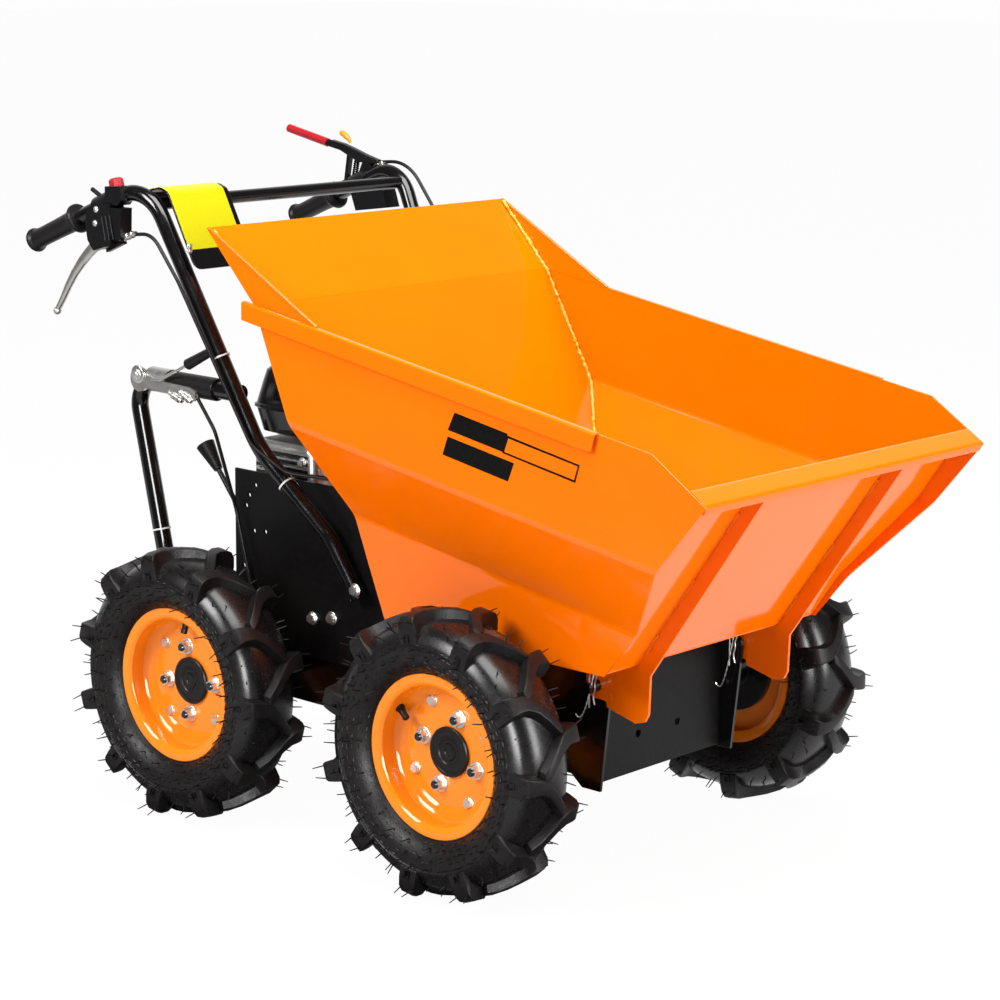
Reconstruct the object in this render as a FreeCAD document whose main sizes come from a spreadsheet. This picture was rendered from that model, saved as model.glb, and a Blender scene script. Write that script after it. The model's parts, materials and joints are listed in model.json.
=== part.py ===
"""Motorized dumper: a walk-behind, four-wheel-drive mini dumper with a tipping tub.

X points forward over the tub's lip, Y to the machine's left and Z up. The origin is on the
ground, under the middle of the machine's box. Lengths are millimetres, angles degrees.
"""
import FreeCAD
import Part
import Sketcher
import math
import os
from FreeCAD import Placement, Rotation, Vector

doc = FreeCAD.newDocument("motorized_dumper")

# ---------------------------------------------------------------- driving dimensions
# alias: value, each in its own cell of the sheet
SIZES = {
    # wheels, tyre size 4.00-8
    "front_axle_x": 258.0,
    "wheelbase": 532.0,
    "tyre_radius": 204.0,        # at the lugs' tips
    "tyre_y": 325.0,             # middle of the tyre from the middle of the machine
    "tyre_width": 108.0,
    "lug_height": 14.0,
    "lug_width": 24.0,
    "lugs_a_side": 11.0,
    "lug_lead": 13.0,            # the lugs' inner ends lead the shoulders by this angle
    "tyre_turn": -8.5,
    "rim_flange_radius": 116.0,
    "bead_seat_radius": 101.6,
    "rim_half_width": 33.0,
    "rim_wall": 3.0,
    "disc_depth": 5.0,           # wheel disc inboard of the tyre's middle
    "hub_flange_radius": 68.0,
    "hub_radius": 30.0,
    "hub_cap_radius": 24.0,
    "hub_cap_reach": 26.0,       # cap's end outboard of the wheel disc
    "half_shaft_radius": 15.0,
    "shaft_clearance": 0.05,
    # axles and drive
    "axle_tube_radius": 29.0,
    "axle_tube_end_y": 252.0,
    "axle_bore_depth": 60.0,
    "front_gear_half_length": 62.0,
    "front_gear_half_width": 58.0,
    "rear_gear_half_length": 85.0,
    "rear_gear_half_width": 75.0,
    "gear_half_height": 62.0,
    "drive_shaft_radius": 14.0,
    # frame
    "frame_outer_y": 149.0,
    "frame_plate": 5.0,
    "frame_bottom_z": 150.0,
    "frame_top_z": 300.0,
    "frame_rear_x": -408.0,
    "front_plate_x": 359.0,      # rear face of the front plate
    "front_plate_bottom_z": 138.0,
    "front_plate_thickness": 4.0,
    "front_hole_spacing": 88.0,
    "front_hole_z": 193.0,
    "front_hole_radius": 5.5,
    "deck_thickness": 4.0,
    "deck_rear_x": -446.0,
    "deck_rear_half_width": 242.0,
    "bay_outer_y": 187.0,        # engine bay's side plates
    "bay_plate": 4.0,
    "bay_rear_x": -321.0,
    "bay_front_x": 6.0,
    "bay_top_z": 503.0,
    "bay_bottom_z": 236.0,
    "bay_hole_radius": 3.5,
    "rest_x": 140.0,             # cross bar under the tub's floor
    "rest_half_length": 15.0,
    "seat_gap": 0.3,             # between pieces of different bodies that rest on each other
    # tub
    "tub_tilt": 9.1,             # the rim and bends fall towards the lip
    "sheet": 2.5,
    "rim_height": 750.0,         # heights square to the tilted bends, from the origin
    "upper_bend_height": 599.0,
    "lower_bend_height": 475.0,
    "tub_half_width": 314.0,
    "tub_floor_half_width": 238.0,
    "floor_z": 332.0,            # underside of the floor
    "floor_rear_x": 52.0,
    "floor_front_x": 455.0,
    "side_front_x": 461.0,       # side wall's front edge at the floor
    "lip_x": 687.0,
    "lip_z": 606.0,
    "rim_front_x": 597.0,
    "rim_tail": 20.0,            # rim fold behind the rear wall
    "front_lean": 0.70,          # forward run of the front panel for each millimetre of rise
    "rear_lean": 0.42,           # side walls' rear edge
    "rear_wall_lean": 0.57,      # rear wall, which meets that edge at the rim
    "front_top_z": 623.0,
    "guard_run": 98.0,           # spill guard: back of and above the rear wall's top
    "guard_rise": 101.0,
    "guard_ear_length": 129.0,
    "rim_fold": 26.0,
    "rim_fold_reach": 7.0,
    "rib_y": 156.5,              # middle of a rib and its hinge ear
    "rib_plate": 5.0,
    "hinge_x": 381.0,
    "hinge_z": 290.0,
    "hinge_pin_radius": 9.0,
    "hinge_boss_radius": 19.0,
    "hinge_pin_length": 44.0,
    # handlebars
    "handle_tube": 25.0,
    "handle_wall": 2.0,
    "grip_diameter": 32.0,
    "grip_length": 112.0,
    "grip_end_x": -671.0,        # corners of the tube's route, from the grip down to the foot
    "grip_end_y": 279.0,
    "grip_end_z": 828.0,
    "apex_x": -418.0,
    "apex_y": 266.7,
    "apex_z": 933.0,
    "knee_x": -224.0,
    "knee_y": 226.0,
    "knee_z": 550.0,
    "shin_x": -94.0,
    "shin_y": 208.0,
    "shin_z": 433.0,
    "foot_x": -41.0,
    "foot_y": 200.0,
    "foot_z": 348.0,
    "crossbar_diameter": 20.0,
    "crossbar_along": 0.72,      # how far round the top bend the crossbar sits
    "console_inner_y": 152.0,
    "console_outer_y": 250.0,
    "console_sheet": 3.0,
    "console_bottom_z": 833.0,
    "bracket_sheet": 4.0,
    "bracket_bottom_z": 803.0,
    # engine guard tubes
    "guard_tube": 27.0,
    "guard_inset": 16.0,         # guard tube inside the deck's edge
    "guard_foot_x": -436.0,
    "guard_corner_x": -505.0,
    "guard_corner_z": 628.0,
    "clamp_radius": 19.0,
    # engine
    "engine_x": -205.0,
    "engine_half_length": 110.0,
    "engine_half_width": 120.0,
    "engine_height": 166.0,
    "head_half_width": 48.0,
    "head_height": 75.0,
    "tank_half_length": 112.0,
    "tank_half_width": 112.0,
    "tank_height": 106.0,
    "tank_round": 34.0,
    "recoil_radius": 80.0,
    "recoil_depth": 42.0,
    "exhaust_guard_length": 132.0,
    "exhaust_guard_width": 96.0,
    "gear_lever_radius": 4.0,
    "cable_radius": 2.8,
}

sheet = doc.addObject("Spreadsheet::Sheet", "Sizes")
for row, (alias, value) in enumerate(SIZES.items(), 1):
    sheet.set("A%d" % row, alias)
    sheet.set("B%d" % row, str(value))
    sheet.setAlias("B%d" % row, alias)
doc.recompute()


class Sizes:
    """Reads a dimension from the sheet by its alias: size.wheelbase"""

    def get(self, alias):
        return float(sheet.get(alias))

    __getattr__ = get


size = Sizes()
nodes = []          # the finished sub-parts, in the order they are made
RIGHT, LEFT = -1, 1
SIDES = {"right": RIGHT, "left": LEFT}


# ---------------------------------------------------------------- ways of making a piece
def keep(thing, label):
    """Names a finished sub-part; its label is its file's name."""
    thing.Label = label
    nodes.append(thing)
    return thing


def plane_of(body, role):
    return [f for f in body.Origin.OriginFeatures if f.Role == role][0]


def sketch_on(body, role, outlines, offset=None, circles=()):
    """A sketch of closed outlines and circles on one of the body's own origin planes."""
    sketch = body.newObject("Sketcher::SketchObject", body.Name + "_sketch")
    sketch.AttachmentSupport = (plane_of(body, role), [""])
    sketch.MapMode = "FlatFace"
    if offset is not None:
        sketch.setExpression("AttachmentOffset.Base.z", offset)
    for outline in outlines:
        first = len(sketch.Geometry)
        count = len(outline)
        for i, (a, b) in enumerate(outline):
            c, d = outline[(i + 1) % count]
            sketch.addGeometry(Part.LineSegment(Vector(a, b, 0), Vector(c, d, 0)), False)
        for i in range(count):
            sketch.addConstraint(Sketcher.Constraint(
                "Coincident", first + i, 2, first + (i + 1) % count, 1))
    for a, b, radius in circles:
        sketch.addGeometry(Part.Circle(Vector(a, b, 0), Vector(0, 0, 1), radius), False)
    return sketch


def plate(name, role, outlines, thickness, offset=None, circles=()):
    """A flat piece: outlines padded by the thickness named in the sheet.

    The pad runs along the plane's own normal: +X for YZ, -Y for XZ and +Z for XY.
    """
    body = doc.addObject("PartDesign::Body", name)
    sketch = sketch_on(body, role, outlines, offset, circles)
    pad = body.newObject("PartDesign::Pad", name + "_pad")
    pad.Profile = sketch
    pad.setExpression("Length", thickness)
    sketch.Visibility = False
    return body


def turned(name, profile, place):
    """A piece turned about the machine's Y direction; the profile's columns are y, radius."""
    body = doc.addObject("PartDesign::Body", name)
    sketch = sketch_on(body, "YZ_Plane", [profile])
    turn = body.newObject("PartDesign::Revolution", name + "_turn")
    turn.Profile = sketch
    turn.ReferenceAxis = (sketch, ["H_Axis"])
    turn.Angle = 360.0
    body.Placement = Placement(place, Rotation())
    return body


def feature(name, shape):
    """A sub-part whose shape is made with Part's own functions."""
    thing = doc.addObject("Part::Feature", name)
    thing.Shape = shape
    return thing


def mirrored(source, label):
    """The left-hand twin of a right-hand sub-part."""
    twin = doc.addObject("Part::Mirroring", label)
    twin.Source = source
    twin.Normal = Vector(0, 1, 0)
    twin.Base = Vector(0, 0, 0)
    return keep(twin, label)


def group(label, pieces):
    """Like pieces that share one sub-part."""
    pair = doc.addObject("Part::Compound", label)
    pair.Links = pieces
    return keep(pair, label)


def paired(source, label):
    """A right-hand piece and its left-hand twin as one sub-part."""
    twin = doc.addObject("Part::Mirroring", label + "_twin")
    twin.Source = source
    twin.Normal = Vector(0, 1, 0)
    twin.Base = Vector(0, 0, 0)
    return group(label, [source, twin])


def common(name, first, second):
    thing = doc.addObject("Part::MultiCommon", name)
    thing.Shapes = [first, second]
    return thing


def fused(name, pieces):
    thing = doc.addObject("Part::MultiFuse", name)
    thing.Shapes = pieces
    return thing


def cut(name, base, tool):
    thing = doc.addObject("Part::Cut", name)
    thing.Base = base
    thing.Tool = tool
    return thing


def box(name, low, high):
    """A Part::Box between two corners; each corner is three sheet expressions."""
    thing = doc.addObject("Part::Box", name)
    for axis, edge, a, b in zip("xyz", ("Length", "Width", "Height"), low, high):
        thing.setExpression("Placement.Base." + axis, a)
        thing.setExpression(edge, "(%s) - (%s)" % (b, a))
    return thing


def rod(name, radius, start, end):
    """A round bar from start to end, its radius a sheet expression."""
    thing = doc.addObject("Part::Cylinder", name)
    line = end - start
    thing.Height = line.Length
    thing.setExpression("Radius", radius)
    thing.Placement = Placement(start, Rotation(Vector(0, 0, 1), line))
    return thing


def band(points, thickness):
    """Outline of a bent sheet: the points and their mitred copy, thickness to their left."""
    count = len(points)
    normals = []
    for (a, b), (c, d) in zip(points, points[1:]):
        run = math.hypot(c - a, d - b)
        normals.append(((b - d) / run, (c - a) / run))
    inner = []
    for i, (a, b) in enumerate(points):
        n = normals[max(i - 1, 0)]
        m = normals[min(i, count - 2)]
        scale = thickness / (1.0 + n[0] * m[0] + n[1] * m[1])
        inner.append((a + (n[0] + m[0]) * scale, b + (n[1] + m[1]) * scale))
    return list(points) + inner[::-1]


def route_wire(route, radii):
    """Straight runs joined by tangent arcs: one radius for each inner point of the route."""
    points = [Vector(*p) for p in route]
    edges = []
    start = points[0]
    for i, radius in enumerate(radii, 1):
        back = (points[i - 1] - points[i]).normalize()
        ahead = (points[i + 1] - points[i]).normalize()
        half = back.getAngle(ahead) / 2
        reach = radius / math.tan(half)
        first = points[i] + back * reach
        last = points[i] + ahead * reach
        centre = points[i] + (back + ahead).normalize() * (radius / math.sin(half))
        middle = centre + (points[i] - centre).normalize() * radius
        edges.append(Part.LineSegment(start, first).toShape())
        edges.append(Part.Arc(first, middle, last).toShape())
        start = last
    edges.append(Part.LineSegment(start, points[-1]).toShape())
    return Part.Wire(edges)


def swept(wire, radius):
    """A round bar along a wire."""
    start = wire.OrderedVertexes[0].Point
    direction = wire.OrderedEdges[0].tangentAt(wire.OrderedEdges[0].FirstParameter)
    ring = Part.Wire([Part.Circle(start, direction, radius).toShape()])
    return wire.makePipeShell([ring], True, True, 0)


def tube(name, route, radii, diameter, wall=None):
    """A bent round tube, open at its ends, or a solid bar when no wall is given."""
    wire = route_wire(route, radii)
    shape = swept(wire, diameter / 2)
    if wall:
        shape = shape.cut(swept(wire, diameter / 2 - wall))
    return feature(name, shape)


def side_points(route, side):
    """A right-hand route, its y given as a distance, on either side of the machine."""
    return [(x, side * y, z) for x, y, z in route]


# ---------------------------------------------------------------- wheels
rear_axle_x = size.front_axle_x - size.wheelbase
AXLES = {"front": size.front_axle_x, "rear": rear_axle_x}
tread_radius = size.tyre_radius - size.lug_height
half_width = size.tyre_width / 2
tyre_faces = 2 * int(size.lugs_a_side)
seat = size.bead_seat_radius
flange = size.rim_flange_radius
rim_half = size.rim_half_width


def tyre_profile(side):
    """Carcass section: y outboard of the tyre's middle, radius."""
    bead = rim_half - size.rim_wall - size.seat_gap
    # its flat faces dip inwards between the corners and still have to clear the rim's seat
    inner = (seat + size.seat_gap) / math.cos(math.pi / tyre_faces)
    half = [
        (bead - 3.0, inner),
        (bead, flange + 1.0),
        (half_width - 2.0, tread_radius - 38.0),
        (half_width * 0.64, tread_radius - 1.0),
    ]
    return [(side * o, r) for o, r in half] + [(-side * o, r) for o, r in half[::-1]]


def flat_face(*points):
    return Part.Face(Part.makePolygon(points + points[:1]))


def carcass_shape():
    """The tyre without its lugs, with two flat faces a lug all round, so that it meshes lightly."""
    profile = tyre_profile(1)
    rings = []
    for i in range(tyre_faces):
        a = 2 * math.pi * i / tyre_faces
        rings.append([Vector(r * math.sin(a), o, r * math.cos(a)) for o, r in profile])
    faces = []
    for i, ring in enumerate(rings):
        after = rings[(i + 1) % tyre_faces]
        for j in range(len(ring)):
            k = (j + 1) % len(ring)
            faces.append(flat_face(ring[j], ring[k], after[k], after[j]))
    return Part.makeSolid(Part.makeShell(faces))


def lug_section(o, low, high, angle, width):
    """Four corners of a lug's section at one distance outboard: in radius and around."""
    a = math.radians(angle)
    points = []
    for radius, around in ((low, -width), (high, -width + 6.0), (high, width - 6.0), (low, width)):
        points.append(Vector(radius * math.sin(a) + around / 2 * math.cos(a), o,
                             radius * math.cos(a) - around / 2 * math.sin(a)))
    return points


def lug(side, turn):
    """One bar: from past the middle of the tread out to the shoulder and down it."""
    base = tread_radius - 14.0
    width = size.lug_width
    # outboard, low radius, high radius, angle ahead of the shoulder, width
    stations = [
        (-20.0, base, size.tyre_radius - 2.0, size.lug_lead, width - 4.0),
        (half_width * 0.42, base, size.tyre_radius, 1.0, width),
        (half_width + 1.0, base - 26.0, size.tyre_radius - 16.0, 0.0, width + 8.0),
    ]
    rings = [lug_section(side * o, low, high, turn + a, w) for o, low, high, a, w in stations]
    faces = [flat_face(*rings[0]), flat_face(*rings[-1])]
    for ring, after in zip(rings, rings[1:]):
        for j in range(4):
            k = (j + 1) % 4
            faces.append(flat_face(ring[j], ring[k], after[k]))
            faces.append(flat_face(ring[j], after[k], after[j]))
    return Part.makeSolid(Part.makeShell(faces))


def tyre_shape():
    """Carcass with both rows of lugs, about the wheel's own middle."""
    count = int(size.lugs_a_side)
    pitch = 360.0 / count
    lugs = [lug(RIGHT, pitch * i) for i in range(count)]
    lugs += [lug(LEFT, pitch * (i + 0.5)) for i in range(count)]
    return carcass_shape().fuse(lugs)


def rim_profile(side):
    """Rim with its disc: y outboard of the tyre's middle, radius."""
    wall = size.rim_wall
    disc = -size.disc_depth
    bore = size.hub_cap_radius + 0.3
    # the outer flange, the seat, the inner flange and back along the disc's inner face
    outline = [
        (disc, bore),
        (disc, seat - 24.0),
        (disc + 6.0, seat - wall),
        (rim_half - 4.0, seat - wall),
        (rim_half, seat + 4.0),
        (rim_half, flange),
        (rim_half - wall, flange),
        (rim_half - wall, seat + 3.0),
        (rim_half - 5.0, seat),
        (-rim_half + 5.0, seat),
        (-rim_half + wall, seat + 3.0),
        (-rim_half + wall, flange),
        (-rim_half, flange),
        (-rim_half, seat + 4.0),
        (-rim_half + 4.0, seat - wall),
        (disc - wall, seat - wall),
        (disc - wall, bore),
    ]
    return [(side * o, r) for o, r in outline]


def hub_profile(side):
    """Hub, cap and half-shaft in one: y outboard of the tyre's middle, radius."""
    back = -size.disc_depth - size.rim_wall - 0.1
    inner = size.axle_tube_end_y + 3.0 - size.tyre_y
    shaft_end = size.axle_tube_end_y - size.axle_bore_depth + 4.0 - size.tyre_y
    cap = size.hub_cap_radius
    end = back + size.rim_wall + size.hub_cap_reach
    outline = [
        (shaft_end, 0.0),
        (shaft_end, size.half_shaft_radius),
        (inner, size.half_shaft_radius),
        (inner, size.hub_radius),
        (back - 9.0, size.hub_radius),
        (back - 9.0, size.hub_flange_radius),
        (back, size.hub_flange_radius),
        (back, cap),
        (end - 3.0, cap),
        (end, cap - 3.0),
        (end, 0.0),
    ]
    return [(side * o, r) for o, r in outline]


one_tyre = tyre_shape()
for row, axle_x in AXLES.items():
    for hand, side in SIDES.items():
        middle = Vector(axle_x, side * size.tyre_y, size.tyre_radius)
        name = "%s_%s" % (row, hand)
        tyre = feature("tyre_" + name, one_tyre.copy())
        tyre.Placement = Placement(middle, Rotation(Vector(0, 1, 0), size.tyre_turn))
        keep(tyre, "tyre_" + name)
        keep(turned("rim_" + name, rim_profile(side), middle), "rim_" + name)
        keep(turned("hub_" + name, hub_profile(side), middle), "hub_" + name)


# ---------------------------------------------------------------- axles and drive
bore_radius = size.half_shaft_radius + size.shaft_clearance
for row, axle_x in AXLES.items():
    end = size.axle_tube_end_y
    depth = size.axle_bore_depth
    profile = [
        (-end, bore_radius),
        (-end, size.axle_tube_radius + 6.0),
        (-end + 14.0, size.axle_tube_radius + 6.0),
        (-end + 14.0, size.axle_tube_radius),
        (end - 14.0, size.axle_tube_radius),
        (end - 14.0, size.axle_tube_radius + 6.0),
        (end, size.axle_tube_radius + 6.0),
        (end, bore_radius),
        (end - depth, bore_radius),
        (end - depth, 0.0),
        (-end + depth, 0.0),
        (-end + depth, bore_radius),
    ]
    axle = turned("axle_" + row, profile, Vector(axle_x, 0, size.tyre_radius))
    gear = box("gear_case_" + row,
               ("%s - Sizes.%s_gear_half_length" % (axle_x, row),
                "-Sizes.%s_gear_half_width" % row, "Sizes.tyre_radius - Sizes.gear_half_height"),
               ("%s + Sizes.%s_gear_half_length" % (axle_x, row),
                "Sizes.%s_gear_half_width" % row, "Sizes.tyre_radius + Sizes.gear_half_height"))
    keep(fused("axle_housing_" + row, [axle, gear]), row + "_axle_housing")
keep(rod("drive_shaft", "Sizes.drive_shaft_radius",
         Vector(rear_axle_x + size.rear_gear_half_length, 0, size.tyre_radius),
         Vector(size.front_axle_x - size.front_gear_half_length, 0, size.tyre_radius)),
     "drive_shaft")


# ---------------------------------------------------------------- frame


def arc_points(centre, radius, first, last, count=6):
    """Points on an arc in a side view, angles in degrees from +X."""
    step = (last - first) / count
    return [(centre[0] + radius * math.cos(math.radians(first + step * i)),
             centre[1] + radius * math.sin(math.radians(first + step * i)))
            for i in range(count + 1)]


boss = size.hinge_boss_radius
frame_side = [
    (size.frame_rear_x, size.frame_bottom_z + 40.0),
    (size.frame_rear_x + 60.0, size.frame_bottom_z),
    (size.front_plate_x - 30.0, size.frame_bottom_z),
    (size.front_plate_x - 10.0, size.front_plate_bottom_z - 4.0),
    (size.front_plate_x + 23.0, size.front_plate_bottom_z - 4.0),
] + arc_points((size.hinge_x, size.hinge_z), boss, -20.0, 150.0, 8) + [
    (size.front_plate_x - 22.0, size.frame_top_z),
    (size.frame_rear_x, size.frame_top_z),
]
axle_hole = size.axle_tube_radius
side_plate = plate("frame_side", "XZ_Plane", [frame_side], "Sizes.frame_plate",
                   "Sizes.frame_outer_y - Sizes.frame_plate",
                   [(size.front_axle_x, size.tyre_radius, axle_hole),
                    (rear_axle_x, size.tyre_radius, axle_hole),
                    (size.hinge_x, size.hinge_z, size.hinge_pin_radius)])
paired(side_plate, "frame_sides")

inner_y = size.frame_outer_y - size.frame_plate
front_outline = [(-inner_y, size.front_plate_bottom_z), (inner_y, size.front_plate_bottom_z),
                 (inner_y, size.frame_top_z), (-inner_y, size.frame_top_z)]
holes = [(side * size.front_hole_spacing / 2, size.front_hole_z, size.front_hole_radius)
         for side in (RIGHT, LEFT)]
keep(plate("front_plate", "YZ_Plane", [front_outline], "Sizes.front_plate_thickness",
           "Sizes.front_plate_x", holes), "front_plate")

keep(box("tub_rest", ("Sizes.rest_x - Sizes.rest_half_length", "-Sizes.frame_outer_y",
                      "Sizes.frame_top_z"),
         ("Sizes.rest_x + Sizes.rest_half_length", "Sizes.frame_outer_y",
          "Sizes.floor_z - Sizes.seat_gap")), "tub_rest_bar")

bay_inner_y = size.bay_outer_y - size.bay_plate
deck = [
    (size.deck_rear_x, -size.deck_rear_half_width),
    (size.bay_rear_x - 8.0, -size.deck_rear_half_width),
    (size.bay_rear_x - 8.0, -bay_inner_y),
    (size.bay_front_x, -bay_inner_y),
]
deck += [(x, -y) for x, y in deck[::-1]]
keep(plate("engine_deck", "XY_Plane", [deck], "Sizes.deck_thickness", "Sizes.frame_top_z"),
     "engine_deck")

bay_side = [
    (size.bay_rear_x, size.bay_bottom_z),
    (size.bay_front_x, size.bay_bottom_z),
    (size.bay_front_x, size.frame_top_z + 50.0),
    (size.bay_front_x - 76.0, size.bay_top_z - 10.0),
    (size.bay_front_x - 106.0, size.bay_top_z),
    (size.bay_rear_x, size.bay_top_z),
]
# small holes near the plate's rear edge: back from the front edge, down from the top
BAY_HOLES = [(282.0, 21.0), (296.0, 38.0), (303.0, 55.0), (286.0, 92.0), (261.0, 90.0),
             (309.0, 149.0)]
bay_plate = plate("bay_side", "XZ_Plane", [bay_side], "Sizes.bay_plate",
                  "Sizes.bay_outer_y - Sizes.bay_plate",
                  [(size.bay_front_x - back, size.bay_top_z - down, size.bay_hole_radius)
                   for back, down in BAY_HOLES])
paired(bay_plate, "engine_bay_sides")


# ---------------------------------------------------------------- tub
tilt = Rotation(Vector(0, 1, 0), size.tub_tilt)
wall_y = size.tub_half_width
floor_y = size.tub_floor_half_width
t = size.sheet


def rear_x(z):
    """Rear edge of the side walls at a height."""
    return size.floor_rear_x - size.rear_lean * (z - size.floor_z)


def front_x(z):
    """Outer face of the front panel at a height."""
    return size.floor_front_x + size.front_lean * (z - size.floor_z)


lean = math.radians(size.tub_tilt)


def rim_z(x):
    """Top of the rim at a place along the machine."""
    return (size.rim_height - x * math.sin(lean)) / math.cos(lean)


# the rear wall's outer face and the side walls' rear edges meet the rim here
rear_top_z = ((size.rim_height - (size.floor_rear_x + size.rear_lean * size.floor_z)
               * math.sin(lean)) / (math.cos(lean) - size.rear_lean * math.sin(lean)))
rear_top = (rear_x(rear_top_z), rear_top_z)


def rear_wall_x(z):
    """Outer face of the rear wall at a height."""
    return rear_top[0] + size.rear_wall_lean * (rear_top[1] - z)


def along_bends(name, outline, reach=1100.0):
    """A solid of constant section along the tilted bends; columns y, height square to them."""
    points = [Vector(0, y, h) for y, h in outline]
    face = Part.Face(Part.makePolygon(points + points[:1]))
    shape = face.extrude(Vector(reach, 0, 0))
    shape.translate(Vector(-350.0, 0, 0))
    shape.Placement = Placement(Vector(0, 0, 0), tilt).multiply(shape.Placement)
    return feature(name, shape)


def across(name, outline, half=400.0):
    """A solid of constant section across the machine; columns x, z."""
    points = [Vector(x, -half, z) for x, z in outline]
    face = Part.Face(Part.makePolygon(points + points[:1]))
    return feature(name, face.extrude(Vector(0, 2 * half, 0)))


wall_section = band([
    (-floor_y, size.lower_bend_height - 220.0),
    (-floor_y, size.lower_bend_height),
    (-wall_y, size.upper_bend_height),
    (-wall_y, size.rim_height),
], -t)
wall_outline = [
    (rear_x(size.floor_z), size.floor_z),
    (size.side_front_x, size.floor_z),
    (size.lip_x, size.lip_z),
    (size.rim_front_x, rim_z(size.rim_front_x) + 5.0),
    (rear_top[0], rear_top[1] + 5.0),
    rear_top,
]
fold_y = wall_y + size.rim_fold_reach
fold_section = band([
    (-fold_y, size.rim_height - size.rim_fold),
    (-fold_y, size.rim_height - 3.0),
    (-fold_y + 3.0, size.rim_height),
    (-wall_y + t, size.rim_height),
], -t)
rim_rear_x = rear_top[0] - size.rim_tail
fold_outline = [
    (rim_rear_x, rear_top_z - 90.0),
    (size.rim_front_x - 87.0, rim_z(size.rim_front_x) - 60.0),
    (size.rim_front_x - 87.0, rim_z(size.rim_front_x) - 5.0),
    (size.rim_front_x - 50.0, rim_z(size.rim_front_x) + 20.0),
    (rim_rear_x, rear_top_z + 40.0),
]
wall = common("tub_wall", along_bends("tub_wall_section", wall_section),
              across("tub_wall_outline", wall_outline))
fold = common("tub_fold", along_bends("tub_fold_section", fold_section),
              across("tub_fold_outline", fold_outline))
tub_side = keep(fused("tub_side", [wall, fold]), "tub_side_right")
mirrored(tub_side, "tub_side_left")

# the space inside the side walls, which the end walls and the floor fill
inside_section = wall_section[4:][::-1]
inside_section[-1] = (inside_section[-1][0], size.rim_height + size.guard_rise)
inside_section += [(-y, h) for y, h in inside_section[::-1]]


def end_wall(name, points, thickness):
    """A cross-wise bent sheet that fits between the side walls."""
    return common(name, along_bends(name + "_inside", inside_section),
                  across(name + "_sheet", band(points, thickness)))


front_top_x = front_x(size.front_top_z)
keep(end_wall("tub_floor", [(rear_wall_x(size.floor_z), size.floor_z),
                            (size.floor_front_x, size.floor_z)], t), "tub_floor")
keep(end_wall("tub_front", [
    (front_x(size.floor_z + t), size.floor_z + t),
    (front_top_x, size.front_top_z),
    (size.lip_x - 3.0, size.lip_z),
    (size.lip_x - 8.0, size.lip_z - 10.0)], t), "tub_front_panel")
guard_top = (rear_top[0] - size.guard_run, rear_top[1] + size.guard_rise)
back_sheet = band([guard_top, rear_top, (rear_wall_x(size.floor_z + t), size.floor_z + t)], t)


def slab(name, low, high):
    """Everything between two heights."""
    reach = size.lip_x * 2
    return across(name, [(-reach, low), (reach, low), (reach, high), (-reach, high)])


rear = common("tub_rear_bent", along_bends("tub_rear_inside", inside_section),
              across("tub_rear_sheet", back_sheet))
keep(common("tub_rear", rear, slab("below_rim", 0.0, rear_top_z)), "tub_rear_wall")

guard_back = common("guard_back", across("guard_sheet", back_sheet, wall_y),
                    slab("above_rim", rear_top_z, rear_top_z + size.guard_rise * 2))
ear_x = rear_top[0] + size.guard_ear_length
ear = [guard_top, rear_top, (ear_x, rim_z(ear_x)), (ear_x - 3.0, rim_z(ear_x) + 4.0)]
ears = []
for hand, side in SIDES.items():
    points = [Vector(x, side * wall_y, z) for x, z in ear]
    face = Part.Face(Part.makePolygon(points + points[:1]))
    ears.append(feature("guard_ear_" + hand, face.extrude(Vector(0, -side * t, 0))))
keep(fused("tub_guard", [guard_back] + ears), "tub_spill_guard")

rib = [
    (front_x(580.0), 580.0),
    (front_x(580.0) + 32.0, 589.0),
    (front_x(size.floor_z) + 21.0, 320.0),
    (front_x(size.floor_z) + 19.0, 265.0),
    (front_x(size.floor_z) + 13.0, 254.0),
    (front_x(size.floor_z) - 3.0, 249.0),
    (front_x(size.floor_z) - 54.0, 262.0),
    (front_x(size.floor_z) - 56.0, 270.0),
] + arc_points((size.hinge_x, size.hinge_z), boss, -75.0, -195.0, 5) + [
    (size.hinge_x - boss - 2.0, size.floor_z),
    (size.floor_front_x, size.floor_z),
]
ribs = []
for hand, side in SIDES.items():
    start = side * size.rib_y - size.rib_plate / 2
    points = [Vector(x, start, z) for x, z in rib]
    face = Part.Face(Part.makePolygon(points + points[:1]))
    hole = Part.makeCylinder(size.hinge_pin_radius + size.shaft_clearance, size.rib_plate,
                             Vector(size.hinge_x, start, size.hinge_z), Vector(0, 1, 0))
    ribs.append(feature("rib_" + hand, face.extrude(Vector(0, size.rib_plate, 0)).cut(hole)))
group("tub_ribs_with_hinge_ears", ribs)

pins = []
for hand, side in SIDES.items():
    inner = side * (inner_y - 6.0)
    outer = side * (inner_y - 6.0 + size.hinge_pin_length)
    pins.append(rod("pin_" + hand, "Sizes.hinge_pin_radius",
                    Vector(size.hinge_x, inner, size.hinge_z),
                    Vector(size.hinge_x, outer, size.hinge_z)))
group("hinge_pins", pins)


# ---------------------------------------------------------------- handlebars
# x, y outboard, z of the tube's corners, from the grip's end to the foot
HANDLE = [(size.get(c + "_x"), size.get(c + "_y"), size.get(c + "_z"))
          for c in ("grip_end", "apex", "knee", "shin", "foot")]
HANDLE_BENDS = (62.0, 150.0, 90.0)
bars = {}           # the tubes' outer shapes, which what they carry is cut to
for hand, side in SIDES.items():
    bars[hand] = swept(route_wire(side_points(HANDLE, side), HANDLE_BENDS), size.handle_tube / 2)
    keep(tube("handle_" + hand, side_points(HANDLE, side), HANDLE_BENDS, size.handle_tube,
              size.handle_wall), "handlebar_" + hand)

grip_end = Vector(*HANDLE[0])
apex = Vector(*HANDLE[1])
along_grip = (apex - grip_end).normalize()


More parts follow.
